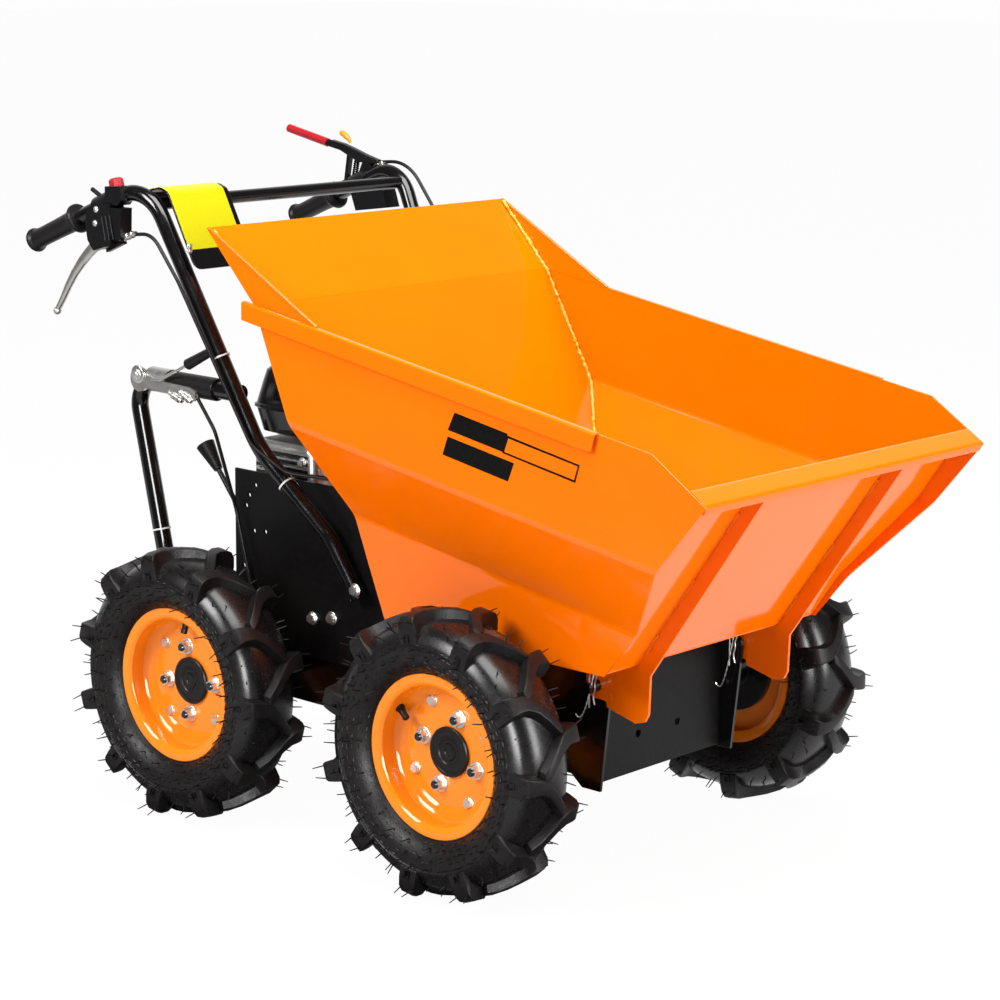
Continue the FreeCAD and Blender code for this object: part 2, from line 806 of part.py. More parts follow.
def on_grip_run(distance, side):
    """A point on the tube's straight upper run, at a distance from its end."""
    point = grip_end + along_grip * distance
    return Vector(point.x, side * point.y, point.z)


def sleeve(side, first, last, radius):
    """A round sleeve on the upper run, between two distances from the tube's end."""
    a = on_grip_run(first, side)
    b = on_grip_run(last, side)
    return Part.makeCylinder(radius, last - first, a, b - a)


grips = []
for hand, side in SIDES.items():
    radius = size.grip_diameter / 2
    grip = sleeve(side, -4.0, size.grip_length, radius)
    grip = grip.fuse([sleeve(side, -4.0, 4.0, radius + 3.0),
                      sleeve(side, size.grip_length - 6.0, size.grip_length, radius + 7.0)])
    grips.append(feature("grip_" + hand, grip.cut(sleeve(side, 0.0, size.grip_length + 1.0,
                                                         size.handle_tube / 2))))
group("handlebar_grips", grips)

# the crossbar meets the tubes on their top bend
bend = route_wire(side_points(HANDLE, LEFT), HANDLE_BENDS).Edges[1]
crossbar_at = bend.valueAt(bend.FirstParameter
                           + size.crossbar_along * (bend.LastParameter - bend.FirstParameter))
crossbar = Part.makeCylinder(size.crossbar_diameter / 2, 2 * crossbar_at.y,
                             Vector(crossbar_at.x, -crossbar_at.y, crossbar_at.z),
                             Vector(0, 1, 0))
keep(feature("crossbar", crossbar.cut([bars["right"], bars["left"]])), "handlebar_crossbar")

# the console plate and its bracket lie along the right-hand tube below the crossbar
down_run = Vector(*HANDLE[2]) - apex
down_slope = down_run.x / down_run.z
out = Vector(-down_run.z, 0, down_run.x).normalize()


def before_tube(z, gap):
    """x, z of a point a gap in front of the tube's face, from the axis at a height."""
    reach = size.handle_tube / 2 + gap
    return (apex.x + (z - apex.z) * down_slope + out.x * reach, z + out.z * reach)


def side_slab(outline, inner, outer, side):
    """A flat-sided body: outline in x and z between two distances outboard."""
    points = [Vector(x, side * inner, z) for x, z in outline]
    face = Part.Face(Part.makePolygon(points + points[:1]))
    return face.extrude(Vector(0, side * (outer - inner), 0))


bracket_gap = size.seat_gap
plate_gap = bracket_gap + size.bracket_sheet + size.seat_gap
bracket = band([before_tube(apex.z - 50.0, bracket_gap + size.bracket_sheet),
                before_tube(size.bracket_bottom_z, bracket_gap + size.bracket_sheet)],
               -size.bracket_sheet)
keep(feature("console_bracket", side_slab(bracket, size.console_inner_y + 12.0,
                                          size.console_outer_y + 7.0, RIGHT)),
     "console_bracket")
console_top = crossbar_at.z + size.crossbar_diameter / 2 + size.seat_gap + size.console_sheet
face_gap = plate_gap + size.console_sheet
console = band([
    (crossbar_at.x - 28.0, console_top - 22.0),
    (crossbar_at.x - 20.0, console_top),
    before_tube(console_top - out.z * (size.handle_tube / 2 + face_gap), face_gap),
    before_tube(size.console_bottom_z, face_gap),
], -size.console_sheet)
keep(feature("console", side_slab(console, size.console_inner_y, size.console_outer_y, RIGHT)),
     "console_plate")


# ---------------------------------------------------------------- hand controls
# outlines in x and z from the tubes' top corner; distances outboard from the same corner
def at_apex(outline):
    return [(apex.x + x, apex.z + z) for x, z in outline]


def control(outline, inner, outer, side):
    """A control's flat-sided body, its depth counted from the tube's line outboard."""
    middle = apex.y + 9.0
    return side_slab(at_apex(outline), middle + inner, middle + outer, side)


THROTTLE_BOX = [(-118, -49), (-120, -72), (-116, -93), (-103, -108), (-63, -97), (-60, -67),
                (-63, -34), (-101, -36)]
SWITCH_BOX = [(-74, -32), (-74, -9), (-39, -7), (-35, -25), (-46, -36)]
CABLE_BOX = [(-62, -40), (-39, -40), (-41, -88), (-62, -88)]
LOWER_ARM = [(-84, -110), (-44, -94), (-46, -90), (-85, -104)]
right_parts = [
    control(THROTTLE_BOX, -14.0, 14.0, RIGHT),
    control(SWITCH_BOX, -13.0, 13.0, RIGHT),
    control(CABLE_BOX, -10.0, 12.0, RIGHT),
    control(LOWER_ARM, -4.0, 4.0, RIGHT),
    sleeve(RIGHT, 158.0, 196.0, size.handle_tube / 2 + 4.5),
]
throttle = [(-86.0, -32.0), (-119.0, -17.0)]
(x, z), (far_x, far_z) = at_apex(throttle)
throttle_at = Vector(x, -apex.y - 9.0, z)
right_parts.append(Part.makeCylinder(3.5, math.hypot(far_x - x, far_z - z), throttle_at,
                                     Vector(far_x - x, 0, far_z - z)))
right_housing = right_parts[0].fuse(right_parts[1:]).cut(bars["right"])
keep(feature("right_housing", right_housing), "right_control_housing")

LEVER = [(-101, -92), (-130, -111), (-156, -130), (-180, -158), (-197, -185), (-206, -200),
         (-197, -205), (-186, -189), (-170, -165), (-148, -143), (-127, -128), (-103, -112)]
(ball_x, ball_z), = at_apex([(-203.0, -204.0)])
ball = Part.makeSphere(7.0, Vector(ball_x, -apex.y - 9.0, ball_z))
lever = control(LEVER, -4.0, 4.0, RIGHT).fuse(ball).cut(right_housing)
keep(feature("brake_lever", lever), "brake_lever")

BUTTON = [(-76, -8.8), (-42, -6.8), (-43, 7), (-50, 10), (-70, 9), (-78, 3)]
button = control(BUTTON, -11.0, 11.0, RIGHT).cut([right_housing, bars["right"]])
keep(feature("kill_switch", button), "kill_switch")

CLUTCH_BOX = [(-105, -57), (-94, -85), (-21, -75), (-31, -47), (-60, -40)]
left_parts = [
    control(CLUTCH_BOX, -16.0, 14.0, LEFT),
    sleeve(LEFT, 158.0, 196.0, size.handle_tube / 2 + 4.5),
]
left_housing = left_parts[0].fuse(left_parts[1:]).cut(bars["left"])
keep(feature("left_housing", left_housing), "left_control_housing")

CLUTCH_BODY = [(-174, 26), (-163, 27), (-134, 22), (-112, 16), (-82, 7), (-53, 0), (-52, -5),
               (-79, -8), (-102, -5), (-122, 3), (-142, 11), (-165, 15), (-174, 17)]
clutch_lever = control(CLUTCH_BODY, -6.0, 6.0, LEFT)
keep(feature("clutch_lever", clutch_lever), "clutch_lever")
PERCH_LEG = [(-96, -28), (-62, -14), (-72, -6.3), (-86, -6.3)]
PERCH_BASE = [(-142, -50), (-50, -12), (-50, -6), (-142, -42)]
STRUT = [(-134, -44), (-127, -42), (-119, 1.7), (-126, 5.2)]
perch = control(PERCH_BASE, -9.0, 9.0, LEFT).fuse([
    control(PERCH_LEG, -9.0, 9.0, LEFT), control(STRUT, -4.0, 4.0, LEFT)])
perch = perch.cut([bars["left"], left_housing, clutch_lever])
keep(feature("clutch_perch", perch), "clutch_lever_perch")
SLEEVE = [(-174.3, 21.5), (-268.5, 40.5)]
(x, z), (far_x, far_z) = at_apex(SLEEVE)
start = Vector(x, apex.y + 9.0, z)
line = Vector(far_x - x, 0, far_z - z)
sleeve_shape = Part.makeCylinder(7.0, line.Length, start, line)
keep(feature("clutch_sleeve", sleeve_shape.cut(clutch_lever)), "clutch_lever_sleeve")


# ---------------------------------------------------------------- engine guard tubes
deck_top = size.frame_top_z + size.deck_thickness
guard_y = size.deck_rear_half_width - size.guard_inset
GUARD = [
    (size.guard_foot_x, guard_y, deck_top),
    (size.guard_foot_x, guard_y, deck_top + 42.0),
    (size.guard_corner_x, guard_y, size.guard_corner_z),
    (apex.x + (size.guard_corner_z - apex.z) * down_slope, size.knee_y, size.guard_corner_z),
]
guards = []
for hand, side in SIDES.items():
    bent = tube("guard_" + hand, side_points(GUARD, side), (60.0, 42.0), size.guard_tube, 2.0)
    bent.Shape = bent.Shape.cut(bars[hand])
    guards.append(bent)
group("engine_guard_tubes", guards)

# clamp of the release lever, on the right-hand tube's top run
guard_core = swept(route_wire(side_points(GUARD, RIGHT), (60.0, 42.0)), size.guard_tube / 2)
corner = Vector(size.guard_corner_x, -guard_y, size.guard_corner_z)
outer = -guard_y - size.guard_tube / 2
clamp = Part.makeCylinder(size.clamp_radius, 46.0, corner + Vector(42.0, 0, 0), Vector(1, 0, 0))
disc = Part.makeCylinder(size.clamp_radius, 6.0, Vector(corner.x + 32.0, outer, corner.z),
                         Vector(0, -1, 0))
ARM = [(50, 8), (88, 3), (150, 1), (164, -4), (160, -19), (140, -17), (88, -13), (50, -12)]
arm = side_slab([(corner.x + x, corner.z + z) for x, z in ARM], -outer, -outer + 7.0, RIGHT)
clamp_shape = clamp.fuse([disc, arm]).cut(guard_core)
keep(feature("guard_clamp", clamp_shape), "release_lever_clamp")

lever_y = outer - 7.0 - 2.6
ROD = [(68.0, 4.0), (86.0, 5.0), (152.0, 37.0)]
rod_points = [Vector(corner.x + x, lever_y, corner.z + z) for x, z in ROD]
wire_rod = swept(route_wire([tuple(p) for p in rod_points], (14.0,)), 2.5)
knob_line = (rod_points[2] - rod_points[1]).normalize()
knob = Part.makeCone(8.5, 7.0, 56.0, rod_points[2] - knob_line * 1.0, knob_line)
keep(feature("release_lever", wire_rod.fuse(knob).cut(bars["right"])), "tub_release_lever")


# ---------------------------------------------------------------- engine
def rounded(low, high, radius):
    """A box between two corners with all its edges rounded."""
    body = Part.makeBox(*[b - a for a, b in zip(low, high)], Vector(*low))
    return body.makeFillet(radius, body.Edges)


engine_rear = size.engine_x - size.engine_half_length
engine_top = deck_top + size.engine_height
head_top = engine_top + size.head_height
block = box("crankcase", ("Sizes.engine_x - Sizes.engine_half_length", "-Sizes.engine_half_width",
                          "Sizes.frame_top_z + Sizes.deck_thickness"),
            ("Sizes.engine_x + Sizes.engine_half_length", "Sizes.engine_half_width",
             "Sizes.frame_top_z + Sizes.deck_thickness + Sizes.engine_height"))
head = box("cylinder", ("Sizes.engine_x - Sizes.engine_half_length + 25",
                        "-Sizes.head_half_width", str(engine_top)),
           ("Sizes.engine_x + Sizes.engine_half_length - 25", "Sizes.head_half_width",
            str(head_top)))
keep(fused("engine", [block, head]), "engine_block")

tank_x = size.engine_x - 38.0
tank_z = head_top + size.seat_gap
tank = rounded((tank_x - size.tank_half_length, -size.tank_half_width, tank_z),
               (tank_x + size.tank_half_length, size.tank_half_width, tank_z + size.tank_height),
               size.tank_round)
seam = rounded((tank_x - size.tank_half_length - 4.0, -size.tank_half_width - 4.0,
                tank_z + size.tank_height / 2 - 1.5),
               (tank_x + size.tank_half_length + 4.0, size.tank_half_width + 4.0,
                tank_z + size.tank_height / 2 + 1.5), 1.0)
cap = Part.makeCylinder(30.0, 8.0, Vector(tank_x - 50.0, 40.0, tank_z + size.tank_height - 1.0))
keep(feature("tank", tank.fuse([seam, cap])), "fuel_tank")

exhaust_x = engine_rear - 14.0
exhaust_y = -size.head_half_width - size.seat_gap
exhaust = rounded((exhaust_x, exhaust_y - size.exhaust_guard_width, engine_top + size.seat_gap),
                  (exhaust_x + size.exhaust_guard_length, exhaust_y, head_top - 1.5), 14.0)
slots = [Part.makeBox(size.exhaust_guard_length - 30.0, 20.0, 5.0,
                      Vector(exhaust_x + 15.0, exhaust_y - size.exhaust_guard_width - 1.0,
                             engine_top + 18.0 + 11.0 * i)) for i in range(4)]
keep(feature("exhaust_guard", exhaust.cut(slots)), "exhaust_guard")
filter_low = Vector(engine_rear + 8.0, size.head_half_width + size.seat_gap,
                    engine_top + size.seat_gap)
keep(feature("air_filter", rounded(tuple(filter_low),
                                   tuple(filter_low + Vector(118.0, 98.0, 58.0)), 14.0)),
     "air_filter_housing")

recoil_z = deck_top + size.recoil_radius + 4.0
recoil = Part.makeCylinder(size.recoil_radius, size.recoil_depth,
                           Vector(engine_rear - size.seat_gap, 0, recoil_z), Vector(-1, 0, 0))
recoil = recoil.makeChamfer(14.0, [recoil.Edges[0]])
slots = []
for i in range(12):
    slot = Part.makeBox(10.0, 9.0, 34.0, Vector(engine_rear - size.recoil_depth - 3.0, -4.5, 34.0))
    slot.rotate(Vector(0, 0, 0), Vector(1, 0, 0), 30.0 * i)
    slot.translate(Vector(0, 0, recoil_z))
    slots.append(slot)
keep(feature("recoil_starter", recoil.cut(slots)), "recoil_starter")

# gear lever beside the engine: a leaning rod with a tapered knob
lever_foot = Vector(size.engine_x - 43.0, -150.0, deck_top)
lever_top = Vector(size.engine_x - 196.0, -150.0, deck_top + 182.0)
lean_line = (lever_top - lever_foot).normalize()
lever_rod = Part.makeCylinder(size.gear_lever_radius, (lever_top - lever_foot).Length - 8.0,
                              lever_foot + lean_line * 8.0, lean_line)
foot_plate = Part.makeBox(46.0, 30.0, 12.0, lever_foot - Vector(23.0, 15.0, 0))
knob = Part.makeCone(7.0, 15.0, 46.0, lever_top - lean_line * 2.0, lean_line)
keep(feature("gear_lever", lever_rod.cut(foot_plate).fuse([foot_plate, knob])), "gear_lever")


# ---------------------------------------------------------------- cables
def cable(name, route, radii):
    return tube(name, route, radii, 2 * size.cable_radius)


control_y = apex.y + 9.0
gap = size.handle_tube / 2 + size.cable_radius
brake_cable = [
    (apex.x - 38.0, -control_y, apex.z - 80.0),
    (apex.x + 18.0, -control_y, apex.z - 74.0),
    (apex.x + 72.0, -control_y + 2.0, apex.z - 140.0),
    (size.knee_x + 2.0, -size.knee_y - gap - 3.0, size.knee_z + 8.0),
    (size.knee_x + 60.0, -size.knee_y - 2.0, size.knee_z - 28.0),
    (size.bay_front_x - 100.0, -size.bay_outer_y + 34.0, size.bay_top_z + 4.0),
    (size.bay_front_x - 82.0, -size.bay_outer_y + 37.0, deck_top + size.seat_gap),
]
clutch_cable = [
    (apex.x - 51.0, control_y, apex.z - 3.0),
    (apex.x + 12.0, control_y, apex.z + 2.0),
    (apex.x + 92.0, control_y + 2.0, apex.z - 100.0),
] + [(x, -y, z) for x, y, z in brake_cable[3:]]
latch_cable = [
    (size.guard_corner_x + 164.5, outer - 3.5, size.guard_corner_z - 14.0),
    (size.guard_corner_x + 196.0, outer + 2.0, size.guard_corner_z - 60.0),
    (size.bay_rear_x + 10.0, -size.bay_outer_y - 8.0, size.bay_top_z - 60.0),
    (rear_axle_x + 10.0, -size.bay_outer_y - 8.0, size.tyre_radius + 70.0),
    (rear_axle_x, -size.bay_outer_y - 8.0, size.tyre_radius + size.axle_tube_radius + 0.3),
]
cables = [cable("brake_cable", brake_cable, (40.0, 60.0, 45.0, 30.0, 25.0)),
          cable("clutch_cable", clutch_cable, (70.0, 60.0, 45.0, 30.0, 25.0)),
          cable("latch_cable", latch_cable, (30.0, 40.0, 18.0))]
group("control_cables", cables)


# ---------------------------------------------------------------- check and write
doc.recompute()
for thing in doc.Objects:
    bad = [word for word in thing.State if word in ("Invalid", "Error")]
    if bad:
        raise RuntimeError("%s is %s" % (thing.Name, bad))
for node in nodes:
    if node.Shape.isNull() or not node.Shape.isValid():
        raise RuntimeError("%s has no valid shape" % node.Label)
os.makedirs("parts", exist_ok=True)
for node in nodes:
    node.Shape.exportStep("parts/%s.step" % node.Label)
print(len(nodes), "nodes")
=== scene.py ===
import json
import math
import random

import bmesh
import bpy
from bpy.props import FloatProperty, FloatVectorProperty, IntProperty, PointerProperty
from mathutils import Matrix, Vector, noise


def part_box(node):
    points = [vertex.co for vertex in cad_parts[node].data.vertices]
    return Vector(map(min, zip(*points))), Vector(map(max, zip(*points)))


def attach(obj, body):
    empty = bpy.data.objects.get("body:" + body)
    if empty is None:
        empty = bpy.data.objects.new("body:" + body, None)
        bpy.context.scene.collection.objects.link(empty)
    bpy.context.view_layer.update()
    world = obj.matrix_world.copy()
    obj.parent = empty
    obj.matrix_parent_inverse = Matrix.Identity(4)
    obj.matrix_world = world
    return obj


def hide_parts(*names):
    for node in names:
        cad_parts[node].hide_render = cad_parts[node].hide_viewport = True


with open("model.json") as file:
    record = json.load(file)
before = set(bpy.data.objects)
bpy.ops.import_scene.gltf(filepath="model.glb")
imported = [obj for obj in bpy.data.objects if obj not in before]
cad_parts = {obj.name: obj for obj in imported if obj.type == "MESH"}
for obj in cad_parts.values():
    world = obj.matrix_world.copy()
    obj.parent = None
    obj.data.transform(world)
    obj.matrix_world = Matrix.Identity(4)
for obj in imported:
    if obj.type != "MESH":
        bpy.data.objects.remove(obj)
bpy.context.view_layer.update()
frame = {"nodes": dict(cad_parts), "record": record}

bl_info = {
    "name": "Motorized dumper",
    "version": (1, 0, 0),
    "blender": (4, 5, 0),
    "location": "3D View > Sidebar > Dumper",
    "description": "Dresses the four-wheel walk-behind dumper around its packed frame",
    "category": "Object",
}

# the sizes below are millimetres; the machine's front looks along +X and its right along -Y
MM = 0.001
SIDES = {"right": -1, "left": 1}
WHEELS = [(axle, hand) for axle in ("front", "rear") for hand in SIDES]
ORIGIN = (0, 0, 0)
ACROSS = (0, 1, 0)
UP = (0, 0, 1)


# ------------------------------------------------------------ sizes and colours
LUG_WIDTH = 27.0


def linear(code):
    """An sRGB hex colour as linear red, green and blue."""
    parts = [int(code[i:i + 2], 16) / 255 for i in (1, 3, 5)]
    return tuple(c / 12.92 if c <= 0.04045 else ((c + 0.055) / 1.055) ** 2.4 for c in parts)


def length(title, text, default):
    return FloatProperty(name=title, description=text, default=default * MM, unit="LENGTH",
                         precision=4, min=0.0)


def colour(title, text, code):
    return FloatVectorProperty(name=title, description=text, default=linear(code),
                               subtype="COLOR", min=0.0, max=1.0)


class DumperSizes(bpy.types.PropertyGroup):
    lug_width: length("Lug width", "Foot of a tread bar", LUG_WIDTH)
    lugs: IntProperty(name="Lugs", description="Tread bars on each side of a tyre", default=11,
                      min=4)
    hair: length("Hair length", "Longest moulding hair on a tyre", 20.0)
    handle_tube: length("Handle tube", "Diameter of the handlebar tube", 25.0)
    guard_tube: length("Guard tube", "Diameter of the engine guard tube", 27.0)
    bend: length("Bend radius", "Outer radius of the tub's folded corners", 6.0)
    edge: length("Edge radius", "Softened edge of cut and folded steel", 0.7)


class DumperColours(bpy.types.PropertyGroup):
    orange: colour("Orange coat", "Tub", "#ff7000")
    enamel: colour("Orange enamel", "Rims", "#f88716")
    # the weld's paler orange is a painted highlight: glints on the bead's ripples
    weld: colour("Coat on a weld", "Beads inside the tub", "#ff9a1c")
    black: colour("Black coat", "Frame, tubes and hubs", "#0a0809")
    rubber: colour("Rubber", "Tyres, grips and cable sleeves", "#120f10")
    plastic: colour("Black plastic", "Housings and hub caps", "#0f0e10")
    film: colour("Black film", "Films on the tub's wall", "#0c0b0b")
    red: colour("Red plastic", "Stop switch and lever sleeve", "#a3141f")
    amber: colour("Amber plastic", "Catch of the clutch lever", "#d98c10")
    yellow: colour("Yellow plate", "Blank plate of the console", "#b9b206")
    nylon: colour("White nylon", "Cable ties", "#e4e3de")
    zinc: colour("Zinc", "Bolts, pins and small fittings", "#e6e4e1")
    aluminium: colour("Aluminium", "Cast levers and clamp", "#d9d7d3")
    floor: colour("Floor", "Studio floor", "#cfcfcf")


def sizes():
    return bpy.context.scene.dumper_sizes


def colours():
    return bpy.context.scene.dumper_colours


# ------------------------------------------------------------ finishes
def add(tree, kind, values=None, links=None, **settings):
    """One shader node with its settings, its sockets' values and what feeds them."""
    node = tree.nodes.new("ShaderNode" + kind)
    for key, value in settings.items():
        setattr(node, key, value)
    for key, value in (values or {}).items():
        node.inputs[key].default_value = value
    for key, source in (links or {}).items():
        tree.links.new(source, node.inputs[key])
    return node


def tinted(rgb, factor, lift=0.0):
    return tuple(min(1.0, c * factor + lift) for c in rgb) + (1.0,)


def per(mm):
    """A pattern's scale from its real spacing in millimetres."""
    return 1.0 / (mm * MM)


def finish(name, rgb, rough, drift, relief, dark=0.85, light=1.08, scuff=0.0, **shader):
    """A surface with slow colour drift, a roughness that varies and a fine relief.

    rough is the roughness and how far it varies, drift the size of the colour's patches,
    relief the size and the height of the surface's bumps, both in millimetres, dark and light
    the colour's range, and scuff how much rubbed, paler patches show.
    """
    made = bpy.data.materials.get(name)
    if made:
        return made
    made = bpy.data.materials.new(name)
    made.use_nodes = True
    tree = made.node_tree
    bsdf = tree.nodes["Principled BSDF"]
    where = add(tree, "TexCoord").outputs["Object"]
    patches = add(tree, "TexNoise", {"Scale": per(drift), "Detail": 3.0}, {"Vector": where})
    base = add(tree, "Mix", {6: tinted(rgb, dark), 7: tinted(rgb, light)},
               {0: patches.outputs["Fac"]}, data_type="RGBA")
    colour_out = base.outputs[2]
    wear = add(tree, "TexNoise", {"Scale": per(drift / 6), "Detail": 6.0, "Roughness": 0.7},
               {"Vector": where})
    if scuff:
        rubbed = add(tree, "MapRange", {"From Min": 0.52, "From Max": 0.75, "To Max": scuff},
                     {"Value": wear.outputs["Fac"]})
        paler = add(tree, "Mix", {7: tinted(rgb, 1.6, 0.03)},
                    {0: rubbed.outputs[0], 6: colour_out}, data_type="RGBA")
        colour_out = paler.outputs[2]
    middle, spread = rough
    polish = add(tree, "MapRange", {"From Min": 0.3, "From Max": 0.7, "To Min": middle - spread,
                                    "To Max": middle + spread}, {"Value": wear.outputs["Fac"]})
    grain, height = relief
    bumps = add(tree, "TexNoise", {"Scale": per(grain), "Detail": 2.0}, {"Vector": where})
    bump = add(tree, "Bump", {"Strength": 1.0, "Distance": height * MM},
               {"Height": bumps.outputs["Fac"]})
    tree.links.new(colour_out, bsdf.inputs["Base Color"])
    tree.links.new(polish.outputs[0], bsdf.inputs["Roughness"])
    tree.links.new(bump.outputs[0], bsdf.inputs["Normal"])
    for key, value in shader.items():
        bsdf.inputs[key.replace("_", " ").title().replace("Ior", "IOR")].default_value = value
    return made


def orange_coat():
    # polyester powder coat on folded sheet: deep gloss with a faint orange-peel relief
    return finish("powder coated steel orange", colours().orange, rough=(0.1, 0.04),
                  drift=160.0, relief=(6.0, 0.02), dark=0.94, light=1.05)


def rim_coat():
    # the wheel maker's own enamel: a yellower orange, the same deep gloss
    return finish("enamelled steel orange", colours().enamel, rough=(0.1, 0.04), drift=160.0,
                  relief=(6.0, 0.02), dark=0.94, light=1.05)


def weld_coat_painted_glints():
    # the tub's coat over a rippled weld bead, in a paler orange with small paler patches: painted
    # glints on the bead's ripples
    return finish("powder coated weld orange with painted glints", colours().weld, rough=(0.14, 0.06), drift=6.0,
                  relief=(1.6, 0.25), dark=0.8, light=1.5)


def black_coat():
    # the tub's kind of coat in black on tube and plate: wet-looking highlights, a little dust
    return finish("powder coated steel black", colours().black, rough=(0.16, 0.06), drift=120.0,
                  relief=(5.0, 0.03), dark=0.8, light=1.4, scuff=0.03, coat_weight=0.3,
                  coat_roughness=0.05)


def satin_coat():
    # bay plates and front plate: the same black, dulled by handling, with hardly a mirror image
    return finish("powder coated steel satin black", colours().black, rough=(0.42, 0.08),
                  drift=60.0, relief=(5.0, 0.05), dark=0.8, light=1.4, scuff=0.04,
                  specular_ior_level=0.2)


def rubber_gloss():
    # vulcanised rubber straight from a polished mould: shiny between the lugs
    return finish("moulded rubber glossy", colours().rubber, rough=(0.27, 0.03), drift=60.0,
                  relief=(2.4, 0.008), dark=0.7, light=1.2, scuff=0.02, specular_ior_level=0.5)


def rubber_matt():
    # the same rubber from a rough mould: sidewalls and lugs, rubbed paler in patches
    return finish("moulded rubber matt", colours().rubber, rough=(0.4, 0.1), drift=45.0,
                  relief=(2.4, 0.3), dark=0.8, light=1.5, scuff=0.12, specular_ior_level=0.28)


def grip_vinyl():
    # dipped PVC: soft sheen with a fine pebble
    return finish("dipped vinyl black", colours().rubber, rough=(0.42, 0.08), drift=30.0,
                  relief=(1.5, 0.1), dark=0.8, light=1.4, specular_ior_level=0.3)


def black_abs():
    # injection-moulded ABS: spark-eroded grain, grey sheen
    return finish("moulded abs black", colours().plastic, rough=(0.34, 0.08), drift=30.0,
                  relief=(1.2, 0.08), dark=0.8, light=1.4, scuff=0.05, specular_ior_level=0.3)


def red_abs():
    # moulded red plastic: saturated, with a soft gloss
    return finish("moulded abs red", colours().red, rough=(0.33, 0.06), drift=24.0,
                  relief=(1.2, 0.04), dark=0.88, light=1.1)


def amber_abs():
    # moulded amber plastic of the clutch lever's catch: a warm, soft gloss
    return finish("moulded abs amber", colours().amber, rough=(0.33, 0.05), drift=20.0,
                  relief=(1.2, 0.03), dark=0.9, light=1.1)


def yellow_film():
    # printed film on bent steel, left blank: flat bright yellow under a clear gloss
    return finish("coated steel yellow", colours().yellow, rough=(0.3, 0.05), drift=40.0,
                  relief=(3.0, 0.03), dark=0.95, light=1.03, specular_ior_level=0.3,
                  coat_weight=0.1, coat_roughness=0.1)


def black_film():
    # cut vinyl film: smooth dull black
    return finish("cut vinyl film black", colours().film, rough=(0.3, 0.05), drift=40.0,
                  relief=(2.0, 0.02), specular_ior_level=0.2)


def white_nylon():
    # moulded nylon of a cable tie: milky and slightly shiny
    return finish("moulded nylon white", colours().nylon, rough=(0.35, 0.05), drift=10.0,
                  relief=(1.0, 0.03), dark=0.93, light=1.02)


def zinc_plate():
    # bright zinc plating on turned and stamped steel: pale metal with cloudy patches
    return finish("zinc plated steel", colours().zinc, rough=(0.33, 0.08), drift=14.0,
                  relief=(2.0, 0.02), dark=0.8, light=1.2, metallic=1.0)


def cast_alloy():
    # die-cast aluminium, tumbled: satin with a fine sand grain
    return finish("die cast aluminium", colours().aluminium, rough=(0.36, 0.08), drift=25.0,
                  relief=(2.0, 0.02), dark=0.8, light=1.2, metallic=1.0)


# ------------------------------------------------------------ small bmesh steps
def verts_in(geom):
    """The vertices among what an operator gives back."""
    return [g for g in geom if isinstance(g, bmesh.types.BMVert)]


def bevel(bm, edges, width, segments=2):
    bmesh.ops.bevel(bm, geom=list(edges), offset=width, segments=segments, profile=0.5,
                    affect="EDGES", material=-1, clamp_overlap=True)


def raise_faces(bm, faces, by):
    """Extrudes faces along a vector."""
    made = bmesh.ops.extrude_face_region(bm, geom=faces)["geom"]
    bmesh.ops.translate(bm, vec=by, verts=verts_in(made))


def drawn(line, run):
    """A strip: a line of points drawn along a vector."""
    bm = bmesh.new()
    points = [bm.verts.new(p) for p in line]
    edges = [bm.edges.new(pair) for pair in zip(points, points[1:])]
    made = bmesh.ops.extrude_edge_only(bm, edges=edges)["geom"]
    bmesh.ops.translate(bm, vec=run, verts=verts_in(made))
    return bm


def face_towards(bm, way):
    """Makes a sheet's faces agree, and look along a vector on the whole."""
    bmesh.ops.recalc_face_normals(bm, faces=bm.faces)
    if sum(f.normal.dot(Vector(way)) * f.calc_area() for f in bm.faces) < 0:
        bmesh.ops.reverse_faces(bm, faces=bm.faces)


def sharp_edges(bm, angle=40.0):
    limit = math.radians(angle)
    return [e for e in bm.edges if len(e.link_faces) == 2 and e.calc_face_angle(0.0) > limit]


def as_mesh(bm, name="part"):
    """A bmesh's shape as a mesh; the bmesh is freed."""
    mesh = bpy.data.meshes.new(name)
    bm.to_mesh(mesh)
    bm.free()
    return mesh


def join(*parts):
    """One bmesh from several."""
    whole = bmesh.new()
    for part in parts:
        mesh = as_mesh(part)
        whole.from_mesh(mesh)
        bpy.data.meshes.remove(mesh)
    return whole


def copies(bm, matrices):
    """The same shape at each of several places."""
    mesh = as_mesh(bm)
    whole = bmesh.new()
    for matrix in matrices:
        before = len(whole.verts)
        whole.from_mesh(mesh)
        whole.verts.ensure_lookup_table()
        bmesh.ops.transform(whole, matrix=matrix, verts=whole.verts[before:])
    bpy.data.meshes.remove(mesh)
    return whole


def facing(at, axis, turn=0.0):
    """A place whose +Z looks along an axis."""
    tilt = Vector(UP).rotation_difference(Vector(axis).normalized()).to_matrix().to_4x4()
    return Matrix.Translation(at) @ tilt @ Matrix.Rotation(turn, 4, "Z")


def on_side(route, side):
    """A left-hand route, or its mirror image on the right."""
    return [(x, side * y, z) for x, y, z in route]


# ------------------------------------------------------------ pieces from the frame
CUT_EDGE = 0.5


